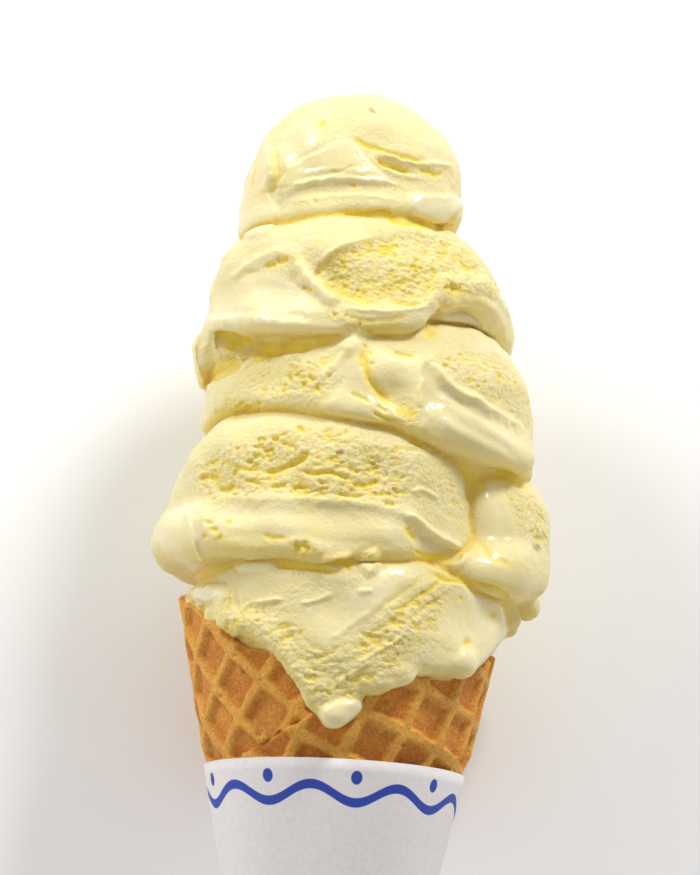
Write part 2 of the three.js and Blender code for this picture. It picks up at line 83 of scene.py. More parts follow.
# ---- Volume that the ice cream is worked out in ----
STEP = 0.6  # from one point of the grid to the next
LOW = np.array([-49.0, -47.0, 138.0])
HIGH = np.array([49.0, 47.0, 299.0])
FAR = 9.0  # stands for anything far from the surface
CORNERS = [np.array([corner & 1, corner >> 1 & 1, corner >> 2 & 1]) for corner in range(8)]
RELIEF = 0.45  # height of the slow unevenness
CREVICE = 1.1  # depth of the crevice between two scoops
CREVICE_WIDTH = 0.9
CREVICE_TINT = 0.8  # how far from the other scoop the painted crevice shade and the held-back relief reach
DEEPEST = 1.6  # limit that the depth of marks nears
RELIEF_GAIN = 1.1
CUT_GAIN = 0.75
SCOOP_BLEND = 0.7  # widths of the fillets where bodies join
DROP_BLEND = 2.2
STRAND_BLEND = 1.2
PLUG_GAP = 0.3  # between the wafer and the ice cream inside it
PLUG_TOP = 172
WITHIN_WALL = 1.2  # this far inside the wafer's outer face counts as inside the wafer
BELOW_RIM = 1
SEALED = 0.2  # least distance at the sides of the grid
CREVICE_HOLD = 0.85  # share of a mark that is lost in the middle of a crevice
FLOOR_MARGIN = 0.8  # marks are held back this near to the floor that the cone lies on
FLOOR_SHARE = 0.2  # share of their depth that is left there
UNDER_SHADE_FROM = 0.1  # slope at which the painted shade of the undersides starts
UNDER_SHADE_SPAN = 0.7
# depth of a hollow at which its painted shade is full
HOLLOW_SHADE_DEPTH = 1.2


def conic(height):
    return height * TAPER


def smooth(share):
    share = np.clip(share, 0, 1)
    return share * share * (3 - 2 * share)


def ring(knots):
    """A value that eases from one (azimuth, value) knot to the next all the way round."""
    knots = sorted(knots)
    first = knots[0][0]
    closed = knots + [(first + 360, knots[0][1])]

    def at(azimuth):
        turned = (np.asarray(azimuth, float) - first) % 360 + first
        value = np.zeros_like(turned)
        for (start, a), (end, b) in zip(closed[:-1], closed[1:]):
            here = (turned >= start) & (turned <= end)
            value = np.where(here, a + (b - a) * smooth((turned - start) / (end - start)), value)
        return value

    return at


rim_height = ring(RIM_HEIGHTS)
flap_face = ring([
    (-143, -1), (-124, 0.8), (-70, FLAP), (0, FLAP), (50, 0.7), (90, 0.3), (160, 0.4), (178, -1),
])


def pinched(height):
    """1 where the sleeve presses the wafer in, and 0 above it."""
    return 1 - smooth((height - PINCHED_TO) / PINCH_FADE)


def taper_at(height):
    """Radius of the wafer's outer face, apart from its relief."""
    return conic(height) - PINCH * pinched(height)


def flap_height(azimuth):
    """Height at which the sheet's outer wrap ends."""
    return SEAM_HEIGHT + SEAM_RISE * azimuth


# ---- From the standing frame to the row frame ----
def lying(points):
    """Points in metres in the row frame, of points in millimetres in the standing frame."""
    x, y, z = np.asarray(points, float).reshape(-1, 3).T
    along = z * math.cos(LEAN) + y * math.sin(LEAN)
    up = z * math.sin(LEAN) - y * math.cos(LEAN) + SLEEVE_OUT * math.cos(LEAN)
    return np.stack([x, along, up], 1) * MM


def sleeve_profile():
    """Radii and heights of the paper sleeve, up its outside and down its inside."""

    def outer(height):
        return conic(height) + SLEEVE_OUT

    def inner(height):
        return outer(height) - PAPER

    return [
        (0, SLEEVE_TIP), (outer(SLEEVE_TIP) * 0.75, SLEEVE_TIP + 0.3),
        (outer(SLEEVE_TIP + 2), SLEEVE_TIP + 2), (outer(SLEEVE_TOP), SLEEVE_TOP),
        (inner(SLEEVE_TOP), SLEEVE_TOP), (inner(SLEEVE_TIP + 3), SLEEVE_TIP + 3),
        (0, SLEEVE_TIP + 1.5),
    ]


def row_shift():
    """How far the row frame's origin is from the standing frame's, from where the sleeve lies."""
    low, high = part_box("paper_sleeve")
    front = lying([(0, -radius, height) for radius, height in sleeve_profile()])
    return np.array([(low[0] + high[0]) / 2, low[1] - front[:, 1].min(), low[2]])


SHIFT = row_shift()


def placed(points):
    """Points in metres where they belong in the row frame."""
    return lying(points) + SHIFT


def camera_axes():
    """The camera's place and its right, up and forward directions in the standing frame."""
    below = math.radians(BELOW)
    forward = np.array([0, math.cos(below), math.sin(below)])
    level_up = np.array([0, -math.sin(below), math.cos(below)])
    level_right = np.array([1.0, 0, 0])
    roll = math.radians(ROLL)
    right = level_right * math.cos(roll) + level_up * math.sin(roll)
    up = -level_right * math.sin(roll) + level_up * math.cos(roll)
    return np.array([0, 0, TARGET_HEIGHT]) - DISTANCE * forward, right, up, forward


EYE, RIGHT, UP, FORWARD = camera_axes()


def seen(points):
    """The pixels at which the camera shows points given in the standing frame."""
    away = points - EYE
    depth = away @ FORWARD
    across = IMAGE[0] / 2 + FOCAL * (away @ RIGHT) / depth
    down = IMAGE[1] / 2 - FOCAL * (away @ UP) / depth
    return np.stack([across, down], 1)


# ---- Noise, the same on each run ----
# The noise's grid is turned, so that its rows never run along the scoops.
NOISE_TURN = np.array(Euler((0.7, 0.45, 1.1)).to_matrix())


def between(values, cell, share):
    """Values of a grid at a share of the way into each cell; the grid repeats past its ends."""
    total = np.zeros(len(cell))
    for corner in CORNERS:
        index = (cell + corner) % values.shape
        weight = np.prod(np.where(corner, share, 1 - share), axis=1)
        total += weight * values[tuple(index.T)]
    return total


def lattice_noise(points, size, seed):
    """Smooth noise between -1 and 1 whose lumps are about `size` apart; size may differ by axis."""
    lattice = np.random.default_rng(seed).uniform(-1, 1, (32, 32, 32)).astype(np.float32)
    scaled = points / np.asarray(size, float) @ NOISE_TURN
    cell = np.floor(scaled).astype(np.int64)
    return between(lattice, cell, smooth(scaled - cell))


def lump_noise(points, size, seed):
    """Rounded lumps about `size` apart with creases between: from about 0.5 down to -0.5."""
    spots = np.random.default_rng(seed).uniform(0, 1, (32, 32, 32, 3)).astype(np.float32)
    scaled = (points / np.array(size)).astype(np.float32)
    cell = np.floor(scaled).astype(np.int32)
    share = scaled - cell
    nearest = np.full(len(points), 9, np.float32)
    for offset in np.ndindex(3, 3, 3):
        step = np.array(offset, np.int32) - 1
        index = (cell + step) % 32
        gap = spots[index[:, 0], index[:, 1], index[:, 2]] + step - share
        nearest = np.minimum(nearest, np.einsum("ij,ij->i", gap, gap))
    return 0.5 - np.sqrt(nearest)


def fractal(points, size, seed, octaves=3):
    """Smooth noise with finer and weaker noise on top."""
    size = np.asarray(size, float)
    total = np.zeros(len(points))
    for octave in range(octaves):
        total += lattice_noise(points, size / 2.03**octave, seed + octave) * 0.55**octave
    return total


# ---- Scoops, as in part.mjs ----
SCOOPS = [
    {
        "at": (-1.9, 0), "top": 292.3, "square": 0.9,
        "belly": ring([(0, 267), (90, 269), (180, 267), (-90, 265)]),
        "side": ring([(0, 25.2), (90, 25.6), (180, 25), (-90, 26)]),
        "out": ring([(-90, 0.5), (-20, 1.3), (50, 1.7), (90, 0.3), (180, 1)]),
        "lip": ring([(-90, 259), (-60, 257.4), (-28, 256.4), (0, 258.4), (40, 260.2), (60, 262.8),
                     (90, 266), (180, 260), (-140, 258.5)]),
        "thick": ring([(0, 3.2)]), "inset": 5.5, "foot": 250,
        "dents": [(18, -17, 263, 6, 1.2), (12, -18, 283, 6, -1.2), (-17, -17, 268, 5, 0.9),
                  (4, -26, 274, 6, -0.8), (6, 24, 276, 8, -1.2)],
    },
    {
        "at": (0.3, 0), "top": 264, "square": 1,
        "belly": ring([(0, 243), (90, 241), (180, 243), (-90, 244)]),
        "side": ring([(0, 33.5), (90, 33.8), (180, 34), (-90, 34.3)]),
        "out": ring([(-90, 3), (-45, 2), (0, 2.6), (45, 2.2), (90, 2.6), (180, 2.4), (-135, 3)]),
        "lip": ring([(-90, 229), (-62, 229.5), (-40, 232), (-18, 230.4), (2, 230.8), (18, 231),
                     (34, 240), (50, 242), (72, 240), (90, 235.5), (130, 233), (180, 230), (-135, 232)]),
        "thick": ring([(-90, 9.5), (-64, 9), (-44, 4.6), (0, 4.6), (90, 4.6), (180, 4.6), (-130, 6)]),
        "inset": 5, "foot": 217,
        "dents": [(5, -31, 250, 6, -2), (15, -28, 250, 6, -2), (-7, -32, 245, 4, 1.2),
                  (-22, -25, 247, 5, -1), (-28, -22, 226, 4.5, -2.2), (8, 32, 246, 9, -1.4)],
    },
    {
        "at": (3.5, 0), "top": 239.5, "square": 0.82,
        "belly": ring([(60, 216), (110, 214.5), (-90, 217.5), (-50, 217), (0, 215), (180, 216)]),
        "side": ring([(0, 35.8), (90, 38.4), (180, 36.5), (-90, 37.3)]),
        "out": ring([(-90, 0.4), (-20, 0.6), (12, 0.8), (32, 1.8), (58, 3.2), (90, 0.8), (180, 1.6)]),
        "lip": ring([(-90, 213), (-60, 213.6), (-35, 212.8), (-15, 210.6), (8, 209.3), (20, 208.2),
                     (32, 206.8), (50, 205.6), (72, 205.3), (90, 205), (135, 206), (180, 205),
                     (-135, 210.5)]),
        "thick": ring([(-90, 3), (0, 3.2), (40, 6), (90, 4.6), (180, 4.2)]), "inset": 6.5, "foot": 194,
        "dents": [(9, -34, 213, 4, -2.2), (-19, -29, 218, 5, -1.2), (-22, -24, 228, 9, -5),
                  (26, -26, 214, 6, 1.2), (-6, 35, 214, 8, -1.4)],
    },
    {
        "at": (-3, 1.5), "top": 218, "square": 0.82,
        "belly": ring([(-90, 195), (-40, 198), (0, 197), (40, 198), (90, 195), (180, 195)]),
        "side": ring([(-90, 36.6), (-45, 38), (0, 39.2), (35, 38.6), (56, 36.8), (75, 32), (90, 28.5),
                      (120, 31), (155, 41), (180, 42.6), (-135, 41)]),
        "out": ring([(-90, 4.7), (-50, 3.8), (0, 2.2), (40, 1.4), (90, 0.4), (180, 1), (-135, 2.5)]),
        "lip": ring([(-90, 184.7), (-45, 183), (0, 181), (40, 183), (90, 186), (180, 186), (-135, 186)]),
        "thick": ring([(-90, 7), (0, 6.4), (90, 6)]), "inset": 7, "foot": 171,
        "dents": [(-14, -37, 198, 7, -1.6), (6, -38, 197, 7, -1.4), (-2, -40, 182, 8, -1.2),
                  (20, -33, 181, 5, -1.8), (-30, -26, 200, 6, -1), (-35, -6, 205, 7, -1.8),
                  (-38, -6, 190, 6, 1.4)],
    },
    {
        "at": (15, 1), "top": 213, "square": 0.82, "belly": ring([(0, 188.5)]),
        "side": ring([(90, 31.8), (60, 29.6), (42, 27.5), (22, 21.5), (0, 20), (-90, 24), (180, 31),
                      (135, 32.5)]),
        "out": ring([(-40, 6), (0, 9), (25, 8), (45, 4.5), (65, 1.6), (90, 0.2), (160, 1.6), (-90, 1)]),
        "lip": ring([(0, 178), (60, 179), (95, 182.5), (180, 180)]),
        "thick": ring([(0, 6), (90, 7)]), "inset": 7, "foot": 169,
        "dents": [(36, -22, 197, 6, -1), (40, -16, 181, 6, 0.8)],
    },
    {
        "at": (0, 0), "top": 186, "square": 0.82, "belly": ring([(0, 171), (-90, 174)]),
        "side": ring([(-90, 33.7), (-60, 33.7), (-20, 36.4), (20, 36.8), (90, 37.6), (180, 37.4),
                      (-130, 34.2)]),
        "lip": ring([(-90, 168), (-62, 167), (-42, 163.8), (-32, 162.6), (-24, 159.6), (-17, 154.8),
                     (-11, 147.6), (-4, 144.2), (12, 151), (32, 156.5), (50, 157.5), (74, 166.5),
                     (90, 170), (135, 164), (180, 160), (-140, 168)]),
        "beyond": ring([(-90, -3), (-60, -3), (-42, 2.4), (-20, 3.4), (50, 3.4), (75, 1.4), (90, 1.4),
                        (150, 3.4), (180, 3.2), (-150, 2.4), (-130, -3)]),
        "thick": ring([(-90, 3), (0, 4.2), (90, 4)]), "inset": 14, "foot": 136,
        "dents": [(-4, -36, 165, 6, -1), (12, -34, 160, 5, 0.8), (26, -27, 166, 6, -1)],
    },
]
DOME_ROWS = 22
AZIMUTHS = np.arange(-180, 180, 3.0)
RADIAL_STEP = 0.5


def scoop_profiles(scoop, azimuth):
    """Closed outlines (azimuth, point, [radius, height]) of a scoop, with its lip rounded off."""
    side, belly, lip, thick = (scoop[key](azimuth) for key in ("side", "belly", "lip", "thick"))
    reach = conic(lip) + scoop["beyond"](azimuth) if "beyond" in scoop else side + scoop["out"](azimuth)
    under = lip - thick
    root = np.maximum(reach - 1.5 * thick, side - scoop["inset"])
    top = scoop["top"]
    points = []
    for i in range(DOME_ROWS, -1, -1):
        rise = math.pi / 2 * i / DOME_ROWS
        radius = side * math.cos(rise) ** scoop["square"]
        points.append((radius, belly + (top - belly) * math.sin(rise)))
    lower = [
        (side, np.maximum((belly + lip) / 2, lip + thick * 0.95)),
        (side + (reach - side) * 0.6, lip + thick * 0.55),
        (reach, lip),
        (reach - 0.12 * thick, lip - thick * 0.6),
        (reach - 0.55 * thick, under),
        (root, under + thick * 0.1),
        (np.minimum(side - scoop["inset"], root - 0.6), np.full_like(side, scoop["foot"])),
    ]
    for _ in range(2):
        lower = cut_corners([points[-1]] + lower)[1:]
    points += lower
    points.append((np.zeros_like(side), np.full_like(side, scoop["foot"] - 1)))
    points.append((np.full_like(side, -20), np.full_like(side, scoop["foot"] - 1)))
    points.append((np.full_like(side, -20), np.full_like(side, top)))
    return np.stack([np.stack(point, 1) for point in points], 1)


def cut_corners(points):
    """One round of corner cutting of an open outline that keeps its ends."""
    cut = [points[0]]
    for (xa, ya), (xb, yb) in zip(points[:-1], points[1:]):
        cut.append((xa * 0.75 + xb * 0.25, ya * 0.75 + yb * 0.25))
        cut.append((xa * 0.25 + xb * 0.75, ya * 0.25 + yb * 0.75))
    cut.append(points[-1])
    return cut


def outline_distance(outline, radii, heights):
    """Signed distance, less than 0 inside, from a closed outline on a grid of radii by heights."""
    r, h = np.meshgrid(radii, heights, indexing="ij")
    nearest = np.full(r.shape, np.inf, np.float32)
    inside = np.zeros(r.shape, bool)
    ends = np.roll(outline, -1, axis=0)
    for (ra, ha), (rb, hb) in zip(outline, ends):
        dr, dh = rb - ra, hb - ha
        length = dr * dr + dh * dh
        if length < 1e-9:
            continue
        share = np.clip(((r - ra) * dr + (h - ha) * dh) / length, 0, 1)
        nearest = np.minimum(nearest, (r - ra - share * dr) ** 2 + (h - ha - share * dh) ** 2)
        if ha != hb:
            crosses = (h >= min(ha, hb)) & (h < max(ha, hb))
            inside ^= crosses & (r < ra + (h - ha) / dh * dr)
    return np.where(inside, -1, 1) * np.sqrt(nearest)


class Volume:
    """Distances from the ice cream's surface on a regular grid, less than 0 inside."""

    def __init__(self):
        self.counts = np.round((HIGH - LOW) / STEP).astype(int) + 1
        self.axes = [LOW[i] + STEP * np.arange(self.counts[i]) for i in range(3)]
        self.field = np.full(self.counts, FAR, np.float32)
        self.second = np.full(self.counts, FAR, np.float32)

    def window(self, low, high):
        """Slices of the grid that cover a box."""
        first = np.clip(np.floor((np.array(low) - LOW) / STEP).astype(int), 0, self.counts)
        last = np.clip(np.ceil((np.array(high) - LOW) / STEP).astype(int) + 1, 0, self.counts)
        return tuple(slice(a, b) for a, b in zip(first, last))

    def add_scoop(self, scoop, blend):
        profiles = scoop_profiles(scoop, AZIMUTHS)
        low, high = profiles[:, :, 1].min() - 4, scoop["top"] + 4
        reach = profiles[:, :, 0].max() + 4
        cx, cy = scoop["at"]
        window = self.window((cx - reach, cy - reach, low), (cx + reach, cy + reach, high))
        heights = self.axes[2][window[2]]
        radii = np.arange(0, reach * 1.45, RADIAL_STEP)
        table = np.stack([outline_distance(p, radii, heights) for p in profiles]).astype(np.float32)
        x, y = np.meshgrid(self.axes[0][window[0]] - cx, self.axes[1][window[1]] - cy, indexing="ij")
        radius = np.hypot(x, y) / RADIAL_STEP
        turn = (np.degrees(np.arctan2(x, -y)) + 180) / (AZIMUTHS[1] - AZIMUTHS[0])
        body = self.looked_up(table, turn, radius)
        body -= self.swell(scoop, window)
        behind = np.maximum(self.field[window], body)
        self.second[window] = np.minimum(self.second[window], behind)
        self.join(window, body, blend)

    @staticmethod
    def looked_up(table, turn, radius):
        """Distances between the entries of a table of outlines by turn and radius."""
        first, ring_share = np.floor(turn).astype(int), (turn % 1)[..., None]
        inner = np.minimum(np.floor(radius).astype(int), table.shape[1] - 2)
        share = np.clip(radius - inner, 0, 1)[..., None]
        count = table.shape[0]
        total = 0
        for step, weight in ((0, 1 - ring_share), (1, ring_share)):
            row = (first + step) % count
            total = total + weight * (table[row, inner] * (1 - share) + table[row, inner + 1] * share)
        return total.astype(np.float32)

    def swell(self, scoop, window):
        """How far dents and unevenness push the surface out."""
        x = self.axes[0][window[0]][:, None, None]
        y = self.axes[1][window[1]][None, :, None]
        z = self.axes[2][window[2]][None, None, :]
        uneven = np.sin(0.31 * x + 0.17 * z + 1.3) * np.cos(0.27 * y - 0.21 * z)
        total = (RELIEF * uneven).astype(np.float32)
        for dx, dy, dz, size, by in scoop["dents"]:
            near = np.exp(-((x - dx) / size) ** 2) * np.exp(-((y - dy) / size) ** 2)
            total += (by * near * np.exp(-((z - dz) / size) ** 2)).astype(np.float32)
        return total

    def join(self, window, body, blend):
        """Joins a body to the rest, with a fillet as wide as `blend`."""
        old = self.field[window]
        fillet = np.maximum(blend - np.abs(old - body), 0) / blend
        self.field[window] = np.minimum(old, body) - fillet * fillet * blend / 4

    def smoothed(self):
        """Evens out the steps between the profiles that the scoops are made from."""
        for axis in range(3):
            self.field = box_average(self.field, axis, 1)
            self.second = box_average(self.second, axis, 1)

    def crease(self):
        """Opens a crevice wherever two scoops meet."""
        apart = np.clip(self.second - self.field, 0, FAR)
        self.field += CREVICE * np.exp(-((apart / CREVICE_WIDTH) ** 2))

    def tubes(self, points, radii, blend):
        """Distances from each tube in a row, with the part of the grid that it covers."""
        points = np.asarray(points, float)
        for a, b, ra, rb in zip(points[:-1], points[1:], radii[:-1], radii[1:]):
            margin = max(ra, rb) + blend + 2
            window = self.window(np.minimum(a, b) - margin, np.maximum(a, b) + margin)
            grid = np.meshgrid(*(axis[w] for axis, w in zip(self.axes, window)), indexing="ij")
            at = np.stack(grid, -1) - a
            along = np.clip(at @ (b - a) / max((b - a) @ (b - a), 1e-9), 0, 1)
            gap = np.linalg.norm(at - along[..., None] * (b - a), axis=-1)
            yield window, (gap - (ra + (rb - ra) * along)).astype(np.float32)

    def add_strand(self, points, radii, blend):
        """Joins a row of balls and the tubes between them."""
        for window, tube in self.tubes(points, radii, blend):
            self.join(window, tube, blend)

    def cut_strand(self, points, radii, blend):
        """Cuts a row of balls and the tubes between them away, with a soft edge."""
        for window, tube in self.tubes(points, radii, blend):
            above = self.field[window] + tube
            share = np.clip(0.5 + 0.5 * above / blend, 0, 1)
            self.field[window] = above * share - tube + blend * share * (1 - share)

    def pinned(self, pixel, sink):
        """The point of the shown surface at a pixel, moved `sink` millimetres inwards."""
        ray = (
            FORWARD
            + RIGHT * (pixel[0] - IMAGE[0] / 2) / FOCAL
            - UP * (pixel[1] - IMAGE[1] / 2) / FOCAL
        )
        depths = np.arange(DISTANCE - 70, DISTANCE + 60, 0.25)
        points = EYE + depths[:, None] * ray
        values = sampled(self.field, points)
        values[np.any((points < LOW) | (points > HIGH), axis=1)] = FAR
        hit = int(np.argmax(values < 0)) if (values < 0).any() else int(np.argmin(values))
        return points[hit] + sink * FORWARD

    def rest_on_floor(self):
        """Flattens what would sink into the floor that the cone lies on."""
        x, y, z = np.meshgrid(*self.axes, indexing="ij", sparse=True)
        floor = (y - TAPER * z - SLEEVE_OUT) * math.cos(LEAN)
        self.field = np.maximum(self.field, floor.astype(np.float32) + 0 * self.field)

    def hollows(self):
        """The field averaged over about 5 mm: it is low in hollows and high on ridges, and sets where
        hollows get painted shade.
        """
        blurred = self.field
        for axis in (0, 0, 1, 1, 2, 2):
            blurred = box_average(blurred, axis, 3)
        return blurred


def sampled(field, points):
    """Values of a field of the volume at points of the standing frame."""
    scaled = np.clip((points - LOW) / STEP, 0, np.array(field.shape) - 1.001)
    cell = np.floor(scaled).astype(int)
    return between(field, cell, scaled - cell)


def box_average(field, axis, reach):
    """The field averaged along an axis over as many points as `reach` to either side."""
    padded = np.concatenate([np.repeat(np.take(field, [0], axis), reach + 1, axis), field,
                             np.repeat(np.take(field, [-1], axis), reach, axis)], axis)
    total = np.cumsum(padded, axis, dtype=np.float32)
    width = 2 * reach + 1
    count = field.shape[axis]
    ahead = np.take(total, np.arange(width, width + count), axis)
    behind = np.take(total, np.arange(0, count), axis)
    return (ahead - behind) / width


def surface_net(field):
    """Points and quads of the surface where the field is 0, one point in each cell it crosses."""
    inside = field < 0
    corners = np.zeros(np.array(field.shape) - 1, np.int8)
    slices = [slice(None, -1), slice(1, None)]
    for corner in range(8):
        pick = tuple(slices[corner >> axis & 1] for axis in range(3))
        corners += inside[pick]
    cells = np.argwhere((corners > 0) & (corners < 8))
    number = np.full(corners.shape, -1, np.int32)
    number[tuple(cells.T)] = np.arange(len(cells))
    values = np.stack([field[tuple((cells + corner).T)] for corner in CORNERS], 1)
    total = np.zeros((len(cells), 3))
    count = np.zeros(len(cells))
    for a in range(8):
        for axis in range(3):
            b = a | 1 << axis
            if b == a:
                continue
            crosses = (values[:, a] < 0) != (values[:, b] < 0)
            share = values[crosses, a] / (values[crosses, a] - values[crosses, b])
            point = np.tile(CORNERS[a], (len(share), 1)).astype(float)
            point[:, axis] += share
            total[crosses] += point
            count[crosses] += 1
    points = LOW + STEP * (cells + total / count[:, None])
    return points, net_quads(inside, number)


def net_quads(inside, number):
    """A quad round each edge of the grid that the surface crosses, facing outwards."""
    quads = []
    for axis in range(3):
        u, v = [(1, 2), (2, 0), (0, 1)][axis]
        along = [slice(None)] * 3
        along[axis] = slice(None, -1)
        beyond = [slice(None)] * 3
        beyond[axis] = slice(1, None)
        edge = np.argwhere(inside[tuple(along)] != inside[tuple(beyond)])
        edge = edge[(edge[:, u] > 0) & (edge[:, v] > 0)]
        edge = edge[(edge[:, u] < number.shape[u]) & (edge[:, v] < number.shape[v])]
        leaves = inside[tuple(edge.T)]
        around = []
        for du, dv in ((1, 1), (0, 1), (0, 0), (1, 0)):
            cell = edge.copy()
            cell[:, u] -= du
            cell[:, v] -= dv
            around.append(number[tuple(cell.T)])
        quad = np.stack(around, 1)
        quad[~leaves] = quad[~leaves][:, ::-1]
        quads.append(quad)
    return np.concatenate(quads)


# ---- What is drawn on the ice cream, by the pixels where the camera shows it ----
# Grooves: (width in pixels, depth in millimetres, points of the line).
GROOVES = [
    # Top scoop: two torn slits, the edge of the left bulge, and the crevices low on the right.
    (2.4, 0.8, [(352, 137), (362, 142), (372, 147), (388, 152), (402, 156), (418, 161), (428, 164)]),
    (2.4, 1.5, [(376, 161), (386, 165), (397, 169), (410, 173)]),
    (2.2, 1.0, [(419, 171), (431, 173), (444, 175)]),
    (2.2, 0.5, [(276, 150), (277, 184), (273, 190), (262, 196)]),
    (2.0, 0.35, [(262, 150), (258, 176), (258, 190)]),
    (1.8, 0.4, [(330, 173), (342, 172), (354, 166)]),
    (2.0, 0.5, [(312, 197), (316, 202)]),
    (2.6, 1.1, [(342, 213), (360, 214), (376, 212), (388, 213), (396, 218)]),
    (3.0, 1.2, [(384, 214), (398, 221), (414, 223), (430, 226), (446, 229)]),
    # Second scoop: slits, the rim of the crumbly hollow, lines below it and the skirt's underside.
    (2.4, 1.6, [(264, 267), (276, 263)]),
    (2.4, 1.6, [(276, 262), (288, 257)]),
    (1.8, 0.4, [(246, 273), (260, 271)]),
    (4.0, 0.5, [(317, 271), (326, 264), (340, 251), (352, 247)]),
    (3.4, 0.6, [(322, 279), (332, 288), (348, 294), (362, 299), (378, 301)]),
    (2.2, 0.7, [(394, 301), (410, 303), (420, 303)]),
    (2.2, 0.9, [(446, 285), (454, 290), (463, 292)]),
    (1.8, 0.7, [(302, 287), (313, 292)]),
    (2.6, 0.4, [(342, 313), (360, 320), (384, 320), (410, 315)]),
    (2.2, 0.4, [(350, 326), (372, 330), (396, 327)]),
    (3.0, 1.4, [(212, 336), (226, 335), (240, 339), (254, 345)]),
    (3.4, 1.3, [(254, 343), (272, 350), (300, 347), (320, 342), (340, 337)]),
    (2.4, 0.8, [(253, 361), (264, 358), (272, 357)]),
    # Third scoop: the fold below its peak, broken creases and the crevice on the right.
    (3.4, 0.9, [(364, 348), (364, 360), (370, 378), (380, 393), (389, 404)]),
    (1.8, 0.6, [(394, 350), (402, 354), (413, 355)]),
    (2.0, 0.6, [(350, 394), (358, 397), (368, 402)]),
    (2.2, 0.9, [(372, 413), (384, 418), (398, 422)]),
    (1.8, 0.6, [(376, 406), (388, 412)]),
    (3.0, 1.2, [(494, 474), (510, 477), (525, 488)]),
    (3.4, 0.9, [(462, 468), (470, 476), (476, 479)]),
    # Fourth scoop: tears in its belt, a crease in the smooth band and the crevices below.
    (2.4, 1.6, [(262, 471), (278, 470), (294, 463), (309, 455)]),
    (2.0, 0.9, [(232, 466), (248, 470), (260, 469)]),
    (2.4, 1.3, [(302, 472), (318, 473), (334, 473), (348, 478)]),
    (2.6, 1.3, [(352, 483), (366, 485), (380, 480)]),
    (2.6, 1.2, [(200, 481), (208, 476), (219, 478)]),
    (2.6, 1.3, [(218, 487), (228, 490), (235, 484)]),
    (2.0, 0.9, [(244, 481), (262, 483)]),
    (2.0, 0.9, [(270, 486), (286, 485)]),
    (2.0, 1.0, [(292, 488), (307, 486)]),
    (2.0, 0.9, [(318, 480), (323, 485)]),
    (2.2, 0.9, [(336, 494), (350, 496), (364, 495)]),
    (2.0, 0.8, [(384, 504), (394, 504)]),
    (2.2, 0.9, [(271, 439), (279, 438)]),
    (2.2, 0.9, [(262, 452), (274, 449)]),
    (2.0, 0.7, [(281, 443), (292, 447), (296, 453)]),
    (2.0, 0.8, [(296, 427), (304, 431)]),
    (2.2, 0.9, [(246, 462), (254, 461)]),
    (2.0, 0.7, [(210, 464), (219, 460)]),
    (2.0, 0.7, [(366, 470), (380, 468)]),
    (2.4, 1.2, [(410, 438), (417, 443), (425, 448)]),
    (2.4, 0.7, [(262, 535), (272, 539), (285, 538)]),
    (3.4, 1.7, [(293, 546), (301, 547), (311, 551)]),
    (3.4, 1.4, [(276, 563), (300, 566), (322, 569), (338, 571)]),
    (2.8, 1.0, [(330, 562), (346, 562), (358, 559)]),
    (3.0, 1.5, [(410, 525), (413, 532), (417, 540)]),
    (2.4, 1.2, [(416, 551), (424, 557), (436, 559), (447, 557)]),
    (3.4, 0.5, [(479, 543), (491, 556), (510, 566)]),
    # Bottom scoop: streaks left by the scoop and the crevice under the side scoop.
    (3.0, 1.2, [(430, 572), (448, 580), (474, 584), (497, 589), (512, 603)]),
    (2.2, 0.7, [(444, 579), (428, 590), (410, 603), (396, 611)]),
    (2.6, 0.35, [(424, 577), (400, 594), (372, 616)]),
    (2.6, 0.3, [(452, 590), (430, 604), (408, 622)]),
    (2.6, 0.35, [(404, 612), (378, 630), (352, 650)]),
    (2.2, 0.4, [(340, 646), (326, 656), (312, 662)]),
]
